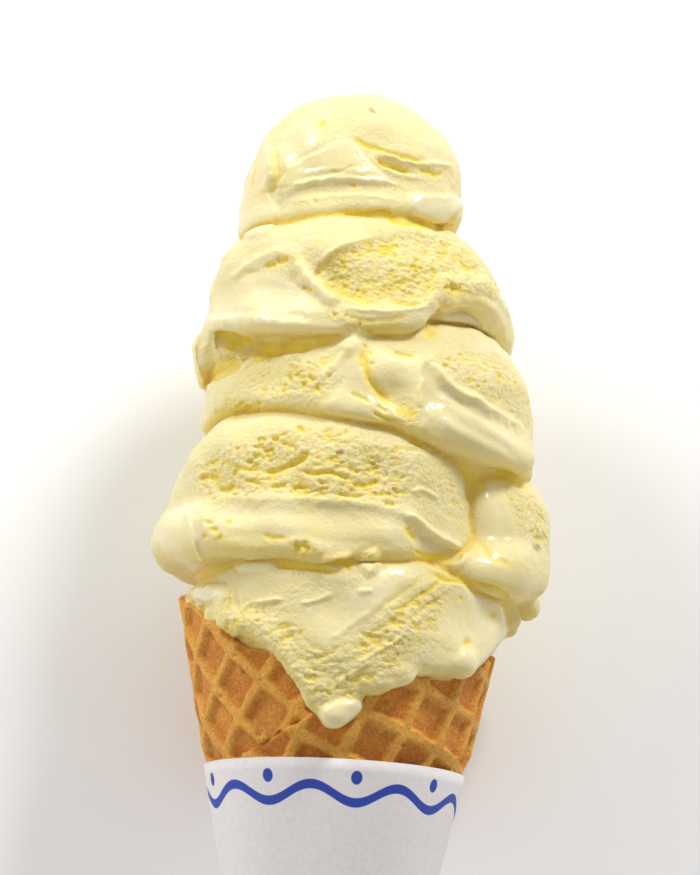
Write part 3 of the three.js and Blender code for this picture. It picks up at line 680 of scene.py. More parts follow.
# Ridges: (width in pixels, height in millimetres, share of gloss, points of the line).
RIDGES = [
    (2.8, 0.7, 0.1, [(376, 153), (390, 157), (406, 162), (424, 164), (456, 166)]),
    (2.4, 0.4, 0.1, [(370, 152), (374, 162), (384, 169), (402, 176), (424, 179)]),
    (3.0, 0.5, 0.6, [(277, 194), (290, 190), (302, 186), (316, 182), (334, 180), (350, 180),
        (386, 184)]),
    (2.6, 0.3, 0.4, [(277, 194), (277, 208), (279, 224)]),
    (2.6, 0.25, 0.5, [(290, 202), (316, 198), (344, 196), (372, 196), (400, 200)]),
    (2.6, 0.2, 0.5, [(300, 176), (324, 171), (350, 171), (372, 174)]),
    (3.0, 0.5, 0.3, [(270, 152), (272, 176), (268, 188)]),
    (2.6, 0.4, 0.2, [(452, 166), (454, 176), (452, 188)]),
    (3.0, 0.8, 0.7, [(414, 190), (420, 198), (434, 199), (452, 198)]),
    (3.2, 0.6, 0.3, [(318, 262), (328, 254), (342, 246), (358, 241), (376, 237)]),
    (4.4, 0.3, 0.9, [(297, 256), (301, 268), (310, 281), (322, 290), (331, 300), (326, 312)]),
    (4.0, 0.6, 0.5, [(228, 280), (240, 272), (252, 263), (270, 254), (286, 250)]),
    (2.4, 0.4, 0.3, [(342, 307), (366, 310), (392, 311), (414, 309), (430, 304)]),
    (4.4, 0.5, 1.0, [(432, 313), (448, 303), (465, 300), (484, 302), (497, 312)]),
    (11.0, 1.3, 1.0, [(430, 322), (446, 317), (464, 317), (482, 324), (496, 336), (504, 350)]),
    (5.0, 0.6, 0.9, [(208, 322), (240, 321), (280, 323), (310, 325), (342, 329)]),
    (4.0, 1.2, 1.0, [(199, 340), (199, 356), (202, 372), (207, 390)]),
    (5.0, 0.5, 0.6, [(350, 342), (344, 354), (330, 368), (318, 378)]),
    (6.0, 0.5, 1.0, [(436, 392), (456, 408), (480, 422), (508, 440), (524, 456)]),
    (6.0, 0.4, 1.0, [(440, 416), (462, 432), (492, 448), (520, 466)]),
    (5.0, 1.2, 1.0, [(430, 360), (438, 371), (444, 380), (453, 389), (466, 396), (474, 399), (486, 409),
        (502, 418), (516, 428), (526, 436)]),
    (3.0, 0.5, 0.8, [(423, 376), (420, 392), (422, 408)]),
    (4.5, 0.35, 0.3, [(206, 499), (250, 498), (300, 499), (350, 502), (385, 508), (410, 513)]),
    (2.4, 0.4, 0.9, [(188, 508), (192, 528), (198, 546), (205, 563)]),
    (3.6, 1.1, 0.9, [(402, 513), (416, 520), (430, 532), (446, 541), (462, 549)]),
    (3.6, 0.8, 0.9, [(463, 551), (462, 562), (448, 566), (432, 564)]),
    (2.2, 0.5, 0.8, [(410, 490), (424, 491), (438, 497)]),
    (2.6, 0.9, 0.3, [(294, 562), (312, 561), (332, 557), (354, 554)]),
    (2.4, 0.9, 0.2, [(240, 612), (252, 605), (266, 601), (282, 600)]),
    (2.4, 0.4, 0.1, [(300, 604), (316, 600), (332, 594)]),
    (2.6, 0.5, 0.3, [(448, 584), (470, 586), (490, 592), (504, 604)]),
    (2.6, 0.4, 0.9, [(358, 590), (364, 592), (372, 591)]),
    (3.0, 0.2, 0.2, [(330, 640), (350, 626), (372, 610)]),
    (2.0, 0.4, 0.2, [(352, 668), (376, 652), (404, 636)]),
    (2.0, 0.4, 0.2, [(330, 690), (348, 676), (372, 660)]),
]
# Patches: (height in millimetres, softness of the edge in pixels, crumbly, melted and white shares,
# points of the outline).
PATCHES = [
    (0.8, 3, 0, 0.6, 0.1, [(262, 152), (275, 152), (277, 182), (272, 192), (277, 208), (274, 228),
        (260, 237), (243, 236), (241, 214), (247, 190)]),
    (0.5, 2.4, 0, 0.75, 0.1, [(280, 186), (286, 175), (292, 166), (310, 156), (324, 150), (334, 144),
        (344, 141), (354, 144), (362, 152), (370, 164), (384, 176), (396, 186), (370, 181), (330, 180),
        (300, 186)]),
    (0.25, 5, 0, 0.8, 0.3, [(282, 140), (296, 130), (316, 128), (322, 136), (312, 150), (296, 162),
        (286, 170), (280, 158)]),
    (1.1, 4, 0, 0.95, 0.45, [(409, 195), (421, 199), (436, 200), (453, 199), (460, 206), (450, 214),
        (440, 222), (430, 223), (418, 218), (410, 208)]),
    (-0.6, 6, 1.0, 0, 0, [(317, 274), (326, 262), (338, 253), (354, 246), (376, 240), (404, 235),
        (436, 238), (462, 250), (482, 266), (474, 282), (456, 293), (438, 292), (416, 304), (388, 301),
        (370, 301), (345, 293), (329, 284)]),
    (0, 12, 0.35, 0, 0, [(392, 226), (440, 228), (470, 250), (500, 280), (496, 300), (464, 296),
        (440, 262)]),
    (0.2, 6, 0, 0.6, 0.2, [(236, 284), (262, 274), (292, 282), (314, 296), (322, 316), (300, 330),
        (250, 330), (212, 328), (214, 306)]),
    (0.5, 5, 0, 1.0, 0.35, [(420, 322), (436, 308), (458, 299), (484, 300), (502, 316), (510, 340),
        (508, 360), (494, 350), (476, 334), (452, 324), (436, 324), (416, 336)]),
    (0.3, 5, 0, 1.0, 0.5, [(212, 318), (240, 314), (280, 318), (320, 324), (342, 328), (330, 334),
        (280, 332), (236, 332), (214, 328)]),
    (-1.7, 4.0, 0.9, 0, 0, [(208, 335), (220, 334), (240, 340), (256, 347), (250, 358), (238, 368),
        (222, 376), (210, 378), (206, 356)]),
    (0.2, 5, 0, 0.9, 0.1, [(352, 338), (362, 352), (364, 374), (378, 394), (392, 406), (400, 420),
        (376, 425), (346, 420), (322, 408), (336, 396), (344, 378), (332, 374)]),
    (0.3, 6, 0, 0.5, 0.1, [(374, 348), (400, 358), (424, 362), (421, 400), (398, 402), (378, 388),
        (368, 366)]),
    (-0.5, 7, 0.3, 0.2, 0, [(398, 406), (411, 403), (422, 411), (424, 419), (410, 425), (399, 418)]),
    (-0.6, 8, 0, 1.0, 0.2, [(428, 366), (446, 386), (470, 402), (500, 420), (526, 442), (529, 470),
        (500, 472), (466, 472), (444, 446), (424, 424), (424, 392)]),
    (0, 8, 0.45, 0, 0, [(448, 352), (480, 350), (506, 366), (524, 392), (530, 424), (500, 412),
        (474, 392), (450, 380), (436, 362)]),
    (0, 10, 0.5, 0, 0, [(250, 366), (290, 356), (334, 360), (334, 388), (300, 398), (240, 416),
        (212, 412), (226, 390)]),
    (0, 9, 0.75, 0, 0, [(202, 470), (226, 450), (258, 434), (300, 428), (344, 432), (388, 444),
        (408, 466), (406, 490), (396, 505), (350, 499), (300, 496), (250, 497), (204, 498)]),
    (0, 12, 0.3, 0, 0, [(404, 436), (440, 450), (466, 480), (468, 520), (440, 520), (410, 500)]),
    (-1.0, 9, 0, 0.5, 0, [(214, 508), (260, 506), (320, 506), (370, 512), (408, 520), (412, 540),
        (396, 550), (340, 548), (300, 540), (240, 542), (214, 532)]),
    (0.3, 7, 0, 0.9, 0.2, [(164, 520), (180, 504), (206, 506), (210, 530), (214, 556), (198, 572),
        (176, 562), (158, 544)]),
    (-0.9, 3.4, 0, 0.9, 0, [(414, 531), (428, 536), (444, 545), (456, 552), (444, 557), (428, 557),
        (418, 549)]),
    (0.6, 4, 0, 1.0, 0.7, [(236, 563), (262, 561), (276, 566), (262, 571), (242, 571)]),
    (1.0, 4, 0.4, 0, 0.2, [(356, 560), (366, 554), (376, 551), (380, 560), (376, 571), (368, 577),
        (362, 569)]),
    (0.2, 8, 0, 0.8, 0.1, [(480, 488), (500, 486), (510, 510), (520, 550), (530, 590), (506, 596),
        (478, 574), (470, 540), (476, 510)]),
    (0, 8, 0.5, 0, 0, [(508, 486), (530, 496), (544, 520), (546, 544), (528, 536), (514, 510)]),
    (0.3, 10, 0, 0.9, 0.3, [(350, 592), (366, 586), (376, 574), (396, 564), (410, 566), (406, 584),
        (392, 600), (372, 618), (350, 626), (346, 606)]),
    (-0.15, 14, 0, 0.7, 0.1, [(304, 612), (326, 600), (346, 604), (348, 626), (332, 640), (312, 640),
        (300, 628)]),
    (0, 12, 0.6, 0, 0, [(226, 600), (250, 604), (296, 626), (310, 646), (342, 650), (396, 606),
        (440, 588), (452, 600), (432, 640), (402, 668), (384, 690), (352, 722), (330, 726), (312, 712),
        (296, 690), (262, 660), (240, 640)]),
    (0.7, 3, 0.7, 0, 0, [(186, 590), (208, 584), (232, 588), (238, 610), (242, 628), (230, 640),
        (214, 632), (204, 618), (190, 612)]),
    (0.6, 4, 0, 1.0, 0.7, [(196, 592), (206, 588), (222, 588), (227, 597), (214, 602), (199, 600)]),
    (0.3, 7, 0, 1.0, 0.3, [(430, 664), (446, 660), (462, 652), (480, 634), (500, 616), (510, 622),
        (500, 644), (486, 664), (470, 676), (454, 670)]),
    (0.2, 8, 0, 0.9, 0.1, [(450, 600), (480, 590), (504, 606), (508, 622), (484, 640), (456, 650),
        (440, 630)]),
    (0.2, 4, 0, 1.0, 0.5, [(386, 682), (402, 680), (420, 672), (430, 668), (424, 680), (404, 690)]),
    (0.6, 5, 0, 1.0, 0.6, [(322, 712), (332, 704), (350, 701), (364, 705), (352, 720), (336, 728),
        (324, 725)]),
]
# Pits: (middle, radius in pixels, depth in millimetres).
PITS = [
    ((335, 315), 2.4, 0.8), ((346, 315), 1.6, 0.5), ((360, 324), 2.2, 0.7), ((371, 331), 2.4, 0.8),
    ((430, 331), 5.0, 1.4), ((455, 290), 3.0, 0.9), ((282, 389), 2.6, 1.0), ((290, 378), 3.2, 1.0),
    ((297, 375), 2.6, 0.9), ((303, 384), 2.6, 0.9), ((311, 379), 2.6, 1.0), ((317, 389), 2.6, 1.0),
    ((328, 376), 2.2, 0.7), ((240, 405), 2.6, 0.6), ((249, 409), 3.0, 0.8), ((259, 404), 2.6, 0.8),
    ((236, 414), 2.4, 0.6), ((370, 352), 2.2, 0.6), ((372, 364), 2.0, 0.5), ((366, 346), 2.0, 0.6),
    ((500, 378), 3.4, 0.6), ((410, 413), 5.0, 0.5), ((402, 410), 4.0, 0.3), ((346, 431), 2.0, 0.8),
    ((433, 452), 2.0, 0.7), ((376, 494), 2.2, 0.7), ((208, 522), 2.6, 0.7), ((213, 530), 3.0, 0.9),
    ((206, 537), 2.4, 0.6), ((218, 538), 2.4, 0.7), ((227, 520), 3.0, 0.5), ((305, 543), 2.8, 1.0),
    ((297, 551), 2.6, 0.9), ((347, 478), 2.6, 0.9), ((300, 486), 2.4, 0.8), ((376, 474), 2.4, 0.8),
    ((318, 458), 2.2, 0.7), ((372, 458), 2.0, 0.6), ((470, 477), 3.0, 0.8), ((482, 487), 2.4, 0.6),
    ((511, 500), 2.0, 0.4), ((480, 474), 2.0, 0.6), ((466, 643), 3.2, 0.8), ((493, 614), 4.0, 0.4),
    ((337, 686), 3.0, 0.9), ((347, 679), 2.6, 0.8), ((352, 694), 2.4, 0.7), ((316, 690), 2.6, 0.6),
    ((392, 622), 2.6, 0.6), ((402, 616), 2.6, 0.7), ((386, 634), 2.2, 0.5), ((300, 634), 2.0, 0.4),
    ((460, 599), 2.2, 0.4), ((213, 634), 2.2, 0.8), ((353, 186), 2.2, 0.35), ((322, 124), 3.0, 0.3),
    ((348, 566), 3.4, 0.9),
]
FLECKS = [(340, 453, 4.4), (537, 547, 5.0), (372, 110, 3.6)]
STRANDS = [  # (how deep it is sunk, radius at its start and end, all in millimetres, pixels along it)
    (0.15, 1.1, 1.7, [(296, 256), (300, 267), (308, 279), (320, 289), (331, 300)]),
    (0.5, 1.1, 1.6, [(202, 337), (199, 352), (201, 368), (207, 384)]),
    (0.2, 1.1, 1.7, [(254, 346), (247, 350), (242, 357), (244, 365)]),
]
CUTS = [  # hollows under the drooping skirt, as STRANDS are given
    (0.9, 1.6, 1.9, [(218, 341), (232, 342), (246, 345)]),
    (0.5, 1.3, 1.2, [(258, 348), (284, 350), (306, 347)]),
]
DROPS = [  # (pixel, how deep its middle is sunk, radius), the last two in millimetres
    ((526, 609), 0.6, 3.0), ((528, 604), 1.0, 2.6), ((509, 629), 0.8, 1.9), ((512, 620), 1.0, 2.2),
    ((246, 355), 0.2, 1.7), ((262, 359), 0.4, 1.2), ((355, 343), 0.6, 1.6), ((348, 347), 0.9, 1.6),
    ((362, 338), 1.0, 1.4), ((462, 664), 1.6, 3.2), ((404, 674), 1.2, 2.2), ((216, 620), 0.9, 1.7),
    ((196, 602), 0.9, 1.5), ((337, 716), 1.1, 2.4), ((350, 707), 1.5, 2.0),
]


CURVE_STEPS = 6  # pieces between two points of a drawn line


def curve(points, closed=False):
    """A smooth line through a few points."""
    points = np.asarray(points, float)
    if closed:
        padded = np.concatenate([points[-1:], points, points[:2]])
    else:
        padded = np.concatenate([[2 * points[0] - points[1]], points, [2 * points[-1] - points[-2]]])
    line = []
    for p, a, b, n in zip(padded[:-3], padded[1:-2], padded[2:-1], padded[3:]):
        for t in np.arange(CURVE_STEPS) / CURVE_STEPS:
            line.append(0.5 * (2 * a + (b - p) * t + (2 * p - 5 * a + 4 * b - n) * t**2
                               + (3 * a - p - 3 * b + n) * t**3))
    line.append(points[0] if closed else points[-1])
    return np.array(line)


def line_distance(pixels, line):
    """Distance of pixels from a line, and the share of its length at which they are nearest."""
    lengths = np.linalg.norm(np.diff(line, axis=0), axis=1)
    before = np.concatenate([[0], np.cumsum(lengths)])
    nearest = np.full(len(pixels), np.inf)
    along = np.zeros(len(pixels))
    for i, (a, b) in enumerate(zip(line[:-1], line[1:])):
        share = np.clip((pixels - a) @ (b - a) / max((b - a) @ (b - a), 1e-9), 0, 1)
        gap = np.linalg.norm(pixels - a - share[:, None] * (b - a), axis=1)
        closer = gap < nearest
        nearest[closer] = gap[closer]
        along[closer] = ((before[i] + share * lengths[i]) / before[-1])[closer]
    return nearest, along


def encloses(outline, pixels):
    """Which pixels lie inside a closed line."""
    inside = np.zeros(len(pixels), bool)
    x, y = pixels.T
    for (xa, ya), (xb, yb) in zip(outline[:-1], outline[1:]):
        if ya != yb:
            crosses = (y >= min(ya, yb)) & (y < max(ya, yb))
            inside ^= crosses & (x < xa + (y - ya) / (yb - ya) * (xb - xa))
    return inside


class Drawing:
    """Relief in millimetres and the shares of each look at points, filled in mark by mark."""

    def __init__(self, points):
        wobble = np.stack([lattice_noise(points, 1.5, 91), lattice_noise(points, 1.5, 92)], 1)
        self.pixels = seen(points) + wobble * 1.3
        # one of these shares is the painted shade in recesses
        self.relief, self.crumbly, self.melted, self.white, self.deep, self.fleck = np.zeros(
            (6, len(points))
        )

    def near(self, line, margin):
        """Which points may be within a margin of a line."""
        inside = (self.pixels > line.min(0) - margin) & (self.pixels < line.max(0) + margin)
        return np.flatnonzero(inside.all(1))

    def stroke(self, width, points):
        """The points near a line, and a mark of 1 on it that fades beside it and at its ends."""
        line = curve(points)
        near = self.near(line, 3 * width)
        gap, along = line_distance(self.pixels[near], line)
        ends = smooth(along / 0.15) * smooth((1 - along) / 0.15) * 0.8 + 0.2
        return near, np.exp(-((gap / width) ** 2)) * ends

    def groove(self, width, depth, points):
        near, mark = self.stroke(width, points)
        self.relief[near] -= depth * mark * CUT_GAIN
        # painted shade in the groove
        self.deep[near] = np.maximum(self.deep[near], mark**0.6 * min(depth * 1.2, 1))

    def ridge(self, width, height, gloss, points):
        near, mark = self.stroke(width, points)
        self.relief[near] += height * mark * RELIEF_GAIN
        self.melted[near] = np.maximum(self.melted[near], mark * gloss)
        # a ridge clears the painted recess shade under it
        self.deep[near] *= 1 - mark * 0.8

    def patch(self, height, edge, crumbly, melted, white, points):
        line = curve(points, closed=True)
        near = self.near(line, 2 * edge)
        pixels = self.pixels[near]
        gap, _ = line_distance(pixels, line)
        share = smooth(0.5 + np.where(encloses(line, pixels), gap, -gap) / (2 * edge))
        self.relief[near] += height * share * RELIEF_GAIN
        self.crumbly[near] = np.maximum(self.crumbly[near] * (1 - share * melted), crumbly * share)
        self.melted[near] = np.maximum(self.melted[near] * (1 - share * (crumbly > 0)), melted * share)
        self.white[near] = np.maximum(self.white[near], white * share)

    def pit(self, middle, radius, depth):
        near = self.near(np.array([middle]), 3 * radius)
        gap = np.linalg.norm(self.pixels[near] - np.array(middle), axis=1)
        mark = np.exp(-((gap / radius) ** 2))
        self.relief[near] -= depth * mark * CUT_GAIN
        # painted shade in the pit
        self.deep[near] = np.maximum(self.deep[near], mark**0.6)

    def fleck_at(self, x, y, size):
        gap = np.hypot(*(self.pixels - np.array([x, y])).T)
        self.fleck = np.maximum(self.fleck, 1 - smooth(gap / size - 0.3))


def drawn(points):
    """All marks of the shown face at points of it."""
    drawing = Drawing(points)
    for patch in PATCHES:
        drawing.patch(*patch)
    for groove in GROOVES:
        drawing.groove(*groove)
    for pit in PITS:
        drawing.pit(*pit)
    for ridge in RIDGES:
        drawing.ridge(*ridge)
    for fleck in FLECKS:
        drawing.fleck_at(*fleck)
    return drawing


def both_faces(points, outward):
    """What is drawn on the shown face, and the same again on the face that lies down."""
    front = smooth((0.45 - outward[:, 1]) / 0.5)
    shown, hidden = drawn(points), drawn(points * np.array([1, -1, 1]))
    looks = []
    for name in ("relief", "crumbly", "melted", "white", "deep", "fleck"):
        looks.append(getattr(shown, name) * front + getattr(hidden, name) * (1 - front))
    return looks


# ---- Mesh helpers ----
def linked(name, data):
    """A new object in the scene."""
    piece = bpy.data.objects.new(name, data)
    bpy.context.scene.collection.objects.link(piece)
    return piece


def round_axis(radius, azimuth, height):
    """Points at a radius and an azimuth round the cone's axis."""
    turn = np.radians(azimuth)
    return np.stack([radius * np.sin(turn), -radius * np.cos(turn), height], -1)


def mesh_piece(name, points, quads, material, odd=()):
    """A mesh object of points (millimetres, standing frame), quads and faces of other sizes."""
    data = bpy.data.meshes.new(name)
    sizes = np.array([4] * len(quads) + [len(face) for face in odd], np.int32)
    corners = np.concatenate([np.asarray(quads).ravel(), *odd]).astype(np.int32)
    data.vertices.add(len(points))
    data.vertices.foreach_set("co", placed(points).astype(np.float32).ravel())
    data.loops.add(len(corners))
    data.loops.foreach_set("vertex_index", corners)
    data.polygons.add(len(sizes))
    data.polygons.foreach_set("loop_start", (np.cumsum(sizes) - sizes).astype(np.int32))
    data.polygons.foreach_set("use_smooth", np.ones(len(sizes), bool))
    data.update(calc_edges=True)
    data.validate()
    data.materials.append(material)
    return linked(name, data)


def give(piece, name, values):
    """Keeps one number for each vertex under a name that the material reads."""
    layer = piece.data.attributes.new(name, "FLOAT", "POINT")
    layer.data.foreach_set("value", np.asarray(values, np.float32))


def point_normals(points, faces):
    """The direction out of the surface at each point, from the quads round it."""
    a, b, c, d = (points[faces[:, i]] for i in range(4))
    spread = np.cross(c - a, d - b)
    normals = np.zeros_like(points)
    for i in range(4):
        for axis in range(3):
            normals[:, axis] += np.bincount(faces[:, i], spread[:, axis], len(points))
    return normals / np.maximum(np.linalg.norm(normals, axis=1), 1e-9)[:, None]


# ---- Ice cream ----
def side_pairs(quads, odd):
    """The two ends of each side of each face."""
    pairs = [quads[:, [i, (i + 1) % 4]] for i in range(4)]
    for face in odd:
        pairs.append(np.stack([face, np.roll(face, -1)], 1))
    return np.concatenate(pairs)


def eased(points, pairs):
    """Draws each point halfway to the middle of its neighbours."""
    a, b = pairs.T
    total = np.zeros_like(points)
    count = np.bincount(a, minlength=len(points)) + np.bincount(b, minlength=len(points))
    for axis in range(3):
        total[:, axis] = np.bincount(a, points[b, axis], len(points))
        total[:, axis] += np.bincount(b, points[a, axis], len(points))
    return points * 0.5 + total / np.maximum(count, 1)[:, None] * 0.5


def refined(points, quads, chosen):
    """Splits the chosen quads in four; a neighbour takes up the point added on a shared side."""
    ends = np.sort(np.stack([quads, np.roll(quads, -1, axis=1)], -1), axis=-1)
    keys = ends[..., 0].astype(np.int64) * len(points) + ends[..., 1]
    _, first, sides = np.unique(keys, return_index=True, return_inverse=True)
    sides = sides.reshape(quads.shape)
    split = np.zeros(len(first), bool)
    split[sides[chosen]] = True
    middle = np.full(len(first), -1)
    middle[split] = len(points) + np.arange(split.sum())
    side_ends = ends.reshape(-1, 2)[first[split]]
    centres = len(points) + split.sum() + np.arange(chosen.sum())
    more = [points, points[side_ends].mean(1), points[quads[chosen]].mean(1)]
    fine = []
    for i in range(4):
        ahead, behind = middle[sides[chosen][:, i]], middle[sides[chosen][:, i - 1]]
        fine.append(np.stack([quads[chosen][:, i], ahead, centres, behind], 1))
    kept = ~chosen
    touched = split[sides[kept]].any(1)
    odd = []
    for quad, around in zip(quads[kept][touched], middle[sides[kept][touched]]):
        face = []
        for corner, added in zip(quad, around):
            face += [corner, added] if added >= 0 else [corner]
        odd.append(np.array(face))
    return np.concatenate(more), np.concatenate(fine + [quads[kept][~touched]]), odd


def heap():
    """The scoops with their drops, strands and hollows, as one volume."""
    volume = Volume()
    for scoop in SCOOPS:
        volume.add_scoop(scoop, SCOOP_BLEND)
    volume.smoothed()
    volume.crease()
    fill_cone(volume)
    spots = [volume.pinned(pixel, sink) for pixel, sink, _ in DROPS]
    for spot, (_, _, radius) in zip(spots, DROPS):
        volume.add_strand([spot, spot], (radius, radius), DROP_BLEND)
    for sink, start, end, pixels in STRANDS:
        spots = [volume.pinned(pixel, sink) for pixel in pixels]
        volume.add_strand(spots, np.linspace(start, end, len(spots)), STRAND_BLEND)
    routes = [[volume.pinned(pixel, sink) for pixel in pixels] for sink, _, _, pixels in CUTS]
    for spots, (_, start, end, _) in zip(routes, CUTS):
        volume.cut_strand(spots, np.linspace(start, end, len(spots)), STRAND_BLEND)
    volume.rest_on_floor()
    seal(volume.field)
    return volume


def skin(volume):
    """Points, quads and other faces of a volume's surface, finer on the face that is shown."""
    points, quads = surface_net(volume.field)
    points = eased(points, side_pairs(quads, []))
    shown = (point_normals(points, quads) @ FORWARD < 0.2)[quads].any(1)
    points, quads, odd = refined(points, quads, shown)
    return eased(points, side_pairs(quads, odd)), quads, odd


def held_back(relief, points, crevice):
    """The relief kept within bounds, and out of crevices, the floor and the wafer."""
    relief = np.where(relief < 0, -DEEPEST * np.tanh(-relief / DEEPEST), relief)
    relief = relief * (1 - CREVICE_HOLD * crevice)
    on_floor = points[:, 1] > TAPER * points[:, 2] + SLEEVE_OUT - FLOOR_MARGIN
    relief = np.where(on_floor, np.minimum(relief, 0) * FLOOR_SHARE, relief)
    return np.where(inside_wafer(points), np.minimum(relief, 0), relief)


def ice_cream():
    volume = heap()
    points, quads, odd = skin(volume)
    normals = point_normals(points, quads)
    to_other = np.clip(sampled(volume.second, points), 0, FAR)
    crevice = np.exp(-((to_other / CREVICE_TINT) ** 2))
    relief, crumbly, melted, white, deep, fleck = both_faces(points, normals)
    relief, crumbly, deep = weathered(points, relief, crumbly, melted, deep)
    moved = points + normals * held_back(relief, points, crevice)[:, None]
    piece = mesh_piece("ice_cream", moved, quads, cream_material(), odd)
    # painted shade: a deeper yellow where the cream faces down, towards the cone's point
    give(piece, "under", smooth((-UNDER_SHADE_FROM - normals[:, 2]) / UNDER_SHADE_SPAN))
    # painted shade: a deeper yellow in the hollows of the surface
    give(piece, "hollow_shade", np.clip(-sampled(volume.hollows(), points) / HOLLOW_SHADE_DEPTH, 0, 1))
    give(piece, "crumbly", crumbly)
    give(piece, "melted", melted)
    give(piece, "white", white)
    # painted shade: a deep yellow in drawn recesses
    give(piece, "deep", deep)
    give(piece, "fleck", fleck)
    # painted shade: a deeper yellow in the crevices where two scoops meet
    give(piece, "crevice", crevice)
    nodes = ("scoop_top", "scoop_second", "scoop_third", "scoop_fourth", "scoop_side", "scoop_bottom")
    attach(piece, "root")
    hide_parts(*nodes)


def fill_cone(volume):
    """Ice cream inside the wafer, as far down as the volume reaches."""
    x, y, z = np.meshgrid(*volume.axes, indexing="ij", sparse=True)
    plug = np.hypot(x, y) - (taper_at(z) - WALL - PLUG_GAP)
    plug = np.maximum(plug * math.cos(LEAN), z - PLUG_TOP)
    volume.field = np.minimum(volume.field, plug.astype(np.float32))


def inside_wafer(points):
    """Whether points lie within the cone's wall and below its rim."""
    azimuths = np.degrees(np.arctan2(points[:, 0], -points[:, 1]))
    within = np.hypot(points[:, 0], points[:, 1]) < taper_at(points[:, 2]) - WITHIN_WALL
    return within & (points[:, 2] < rim_height(azimuths) - BELOW_RIM)


def seal(field):
    """Closes the surface at the sides of the grid."""
    for axis in range(3):
        for end in (0, -1):
            edge = [slice(None)] * 3
            edge[axis] = end
            field[tuple(edge)] = np.maximum(field[tuple(edge)], SEALED)


def weathered(points, relief, crumbly, melted, deep):
    """Adds crumbs, torn lines, pits and soft waves to the drawn relief, and painted shade in the pits,
    tears and creases between crumbs.
    """
    solid = 1 - np.clip(melted, 0, 1)
    rough = (np.clip(crumbly, 0, 1) + 0.14) * solid
    big = lump_noise(points, (1.7, 1.7, 1.4), 11)
    small = lump_noise(points, (0.85, 0.85, 0.75), 12)
    crumbs = rough * (0.55 * big + 0.35 * small)
    torn = fractal(points, (5.5, 5.5, 1.5), 21, 2)
    broken = smooth((lattice_noise(points, 4.0, 25) + 0.25) / 0.4)
    tears = smooth(1 - np.abs(torn) / 0.13) * broken * crumbly * solid
    pits = smooth((fractal(points, (2.8, 2.8, 1.7), 31, 3) - 0.38) / 0.3) * rough
    waves = fractal(points, (11, 11, 5), 37, 2)
    relief = relief + crumbs - 0.35 * tears - 0.5 * pits + 0.25 * waves * (0.15 + 0.85 * solid)
    creases = smooth((0.02 - big) / 0.25) * crumbly * solid
    # painted shade in pits, tears and the creases between crumbs
    deep = np.clip(np.maximum.reduce([deep, pits, tears * 0.9, creases * 0.55]), 0, 1)
    return relief, rough, deep


# ---- Materials ----
class Shader:
    """A few short calls for making a material's nodes."""

    def __init__(self, name):
        self.material = bpy.data.materials.new(name)
        self.material.use_nodes = True
        self.tree = self.material.node_tree
        self.surface = self.tree.nodes["Principled BSDF"]

    def node(self, kind, **settings):
        made = self.tree.nodes.new(kind)
        for key, value in settings.items():
            setattr(made, key, value)
        return made

    def link(self, value, socket):
        if isinstance(value, bpy.types.NodeSocket):
            self.tree.links.new(value, socket)
        else:
            socket.default_value = value

    def attribute(self, name):
        return self.node("ShaderNodeAttribute", attribute_name=name).outputs["Fac"]

    def mix(self, share, a, b):
        made = self.node("ShaderNodeMix", data_type="RGBA")
        self.link(share, made.inputs[0])
        self.link(a, made.inputs[6])
        self.link(b, made.inputs[7])
        return made.outputs[2]

    def math(self, operation, a, b=0.0):
        made = self.node("ShaderNodeMath", operation=operation)
        self.link(a, made.inputs[0])
        self.link(b, made.inputs[1])
        return made.outputs[0]

    def times(self, a, b):
        return self.math("MULTIPLY", a, b)

    def spread(self, value, low, high, to_low=0.0, to_high=1.0):
        made = self.node("ShaderNodeMapRange")
        for socket, number in zip(made.inputs[:5], (value, low, high, to_low, to_high)):
            self.link(number, socket)
        return made.outputs[0]

    def noise(self, scale, detail, roughness=0.5):
        made = self.node("ShaderNodeTexNoise")
        made.inputs["Scale"].default_value = scale
        made.inputs["Detail"].default_value = detail
        made.inputs["Roughness"].default_value = roughness
        self.link(self.node("ShaderNodeTexCoord").outputs["Object"], made.inputs["Vector"])
        return made.outputs[0]

    def bump(self, height, strength, distance, below=None):
        made = self.node("ShaderNodeBump")
        self.link(strength, made.inputs["Strength"])
        made.inputs["Distance"].default_value = distance
        self.link(height, made.inputs["Height"])
        if below:
            self.link(below, made.inputs["Normal"])
        return made.outputs[0]

    def set(self, name, value):
        self.link(value, self.surface.inputs[name])


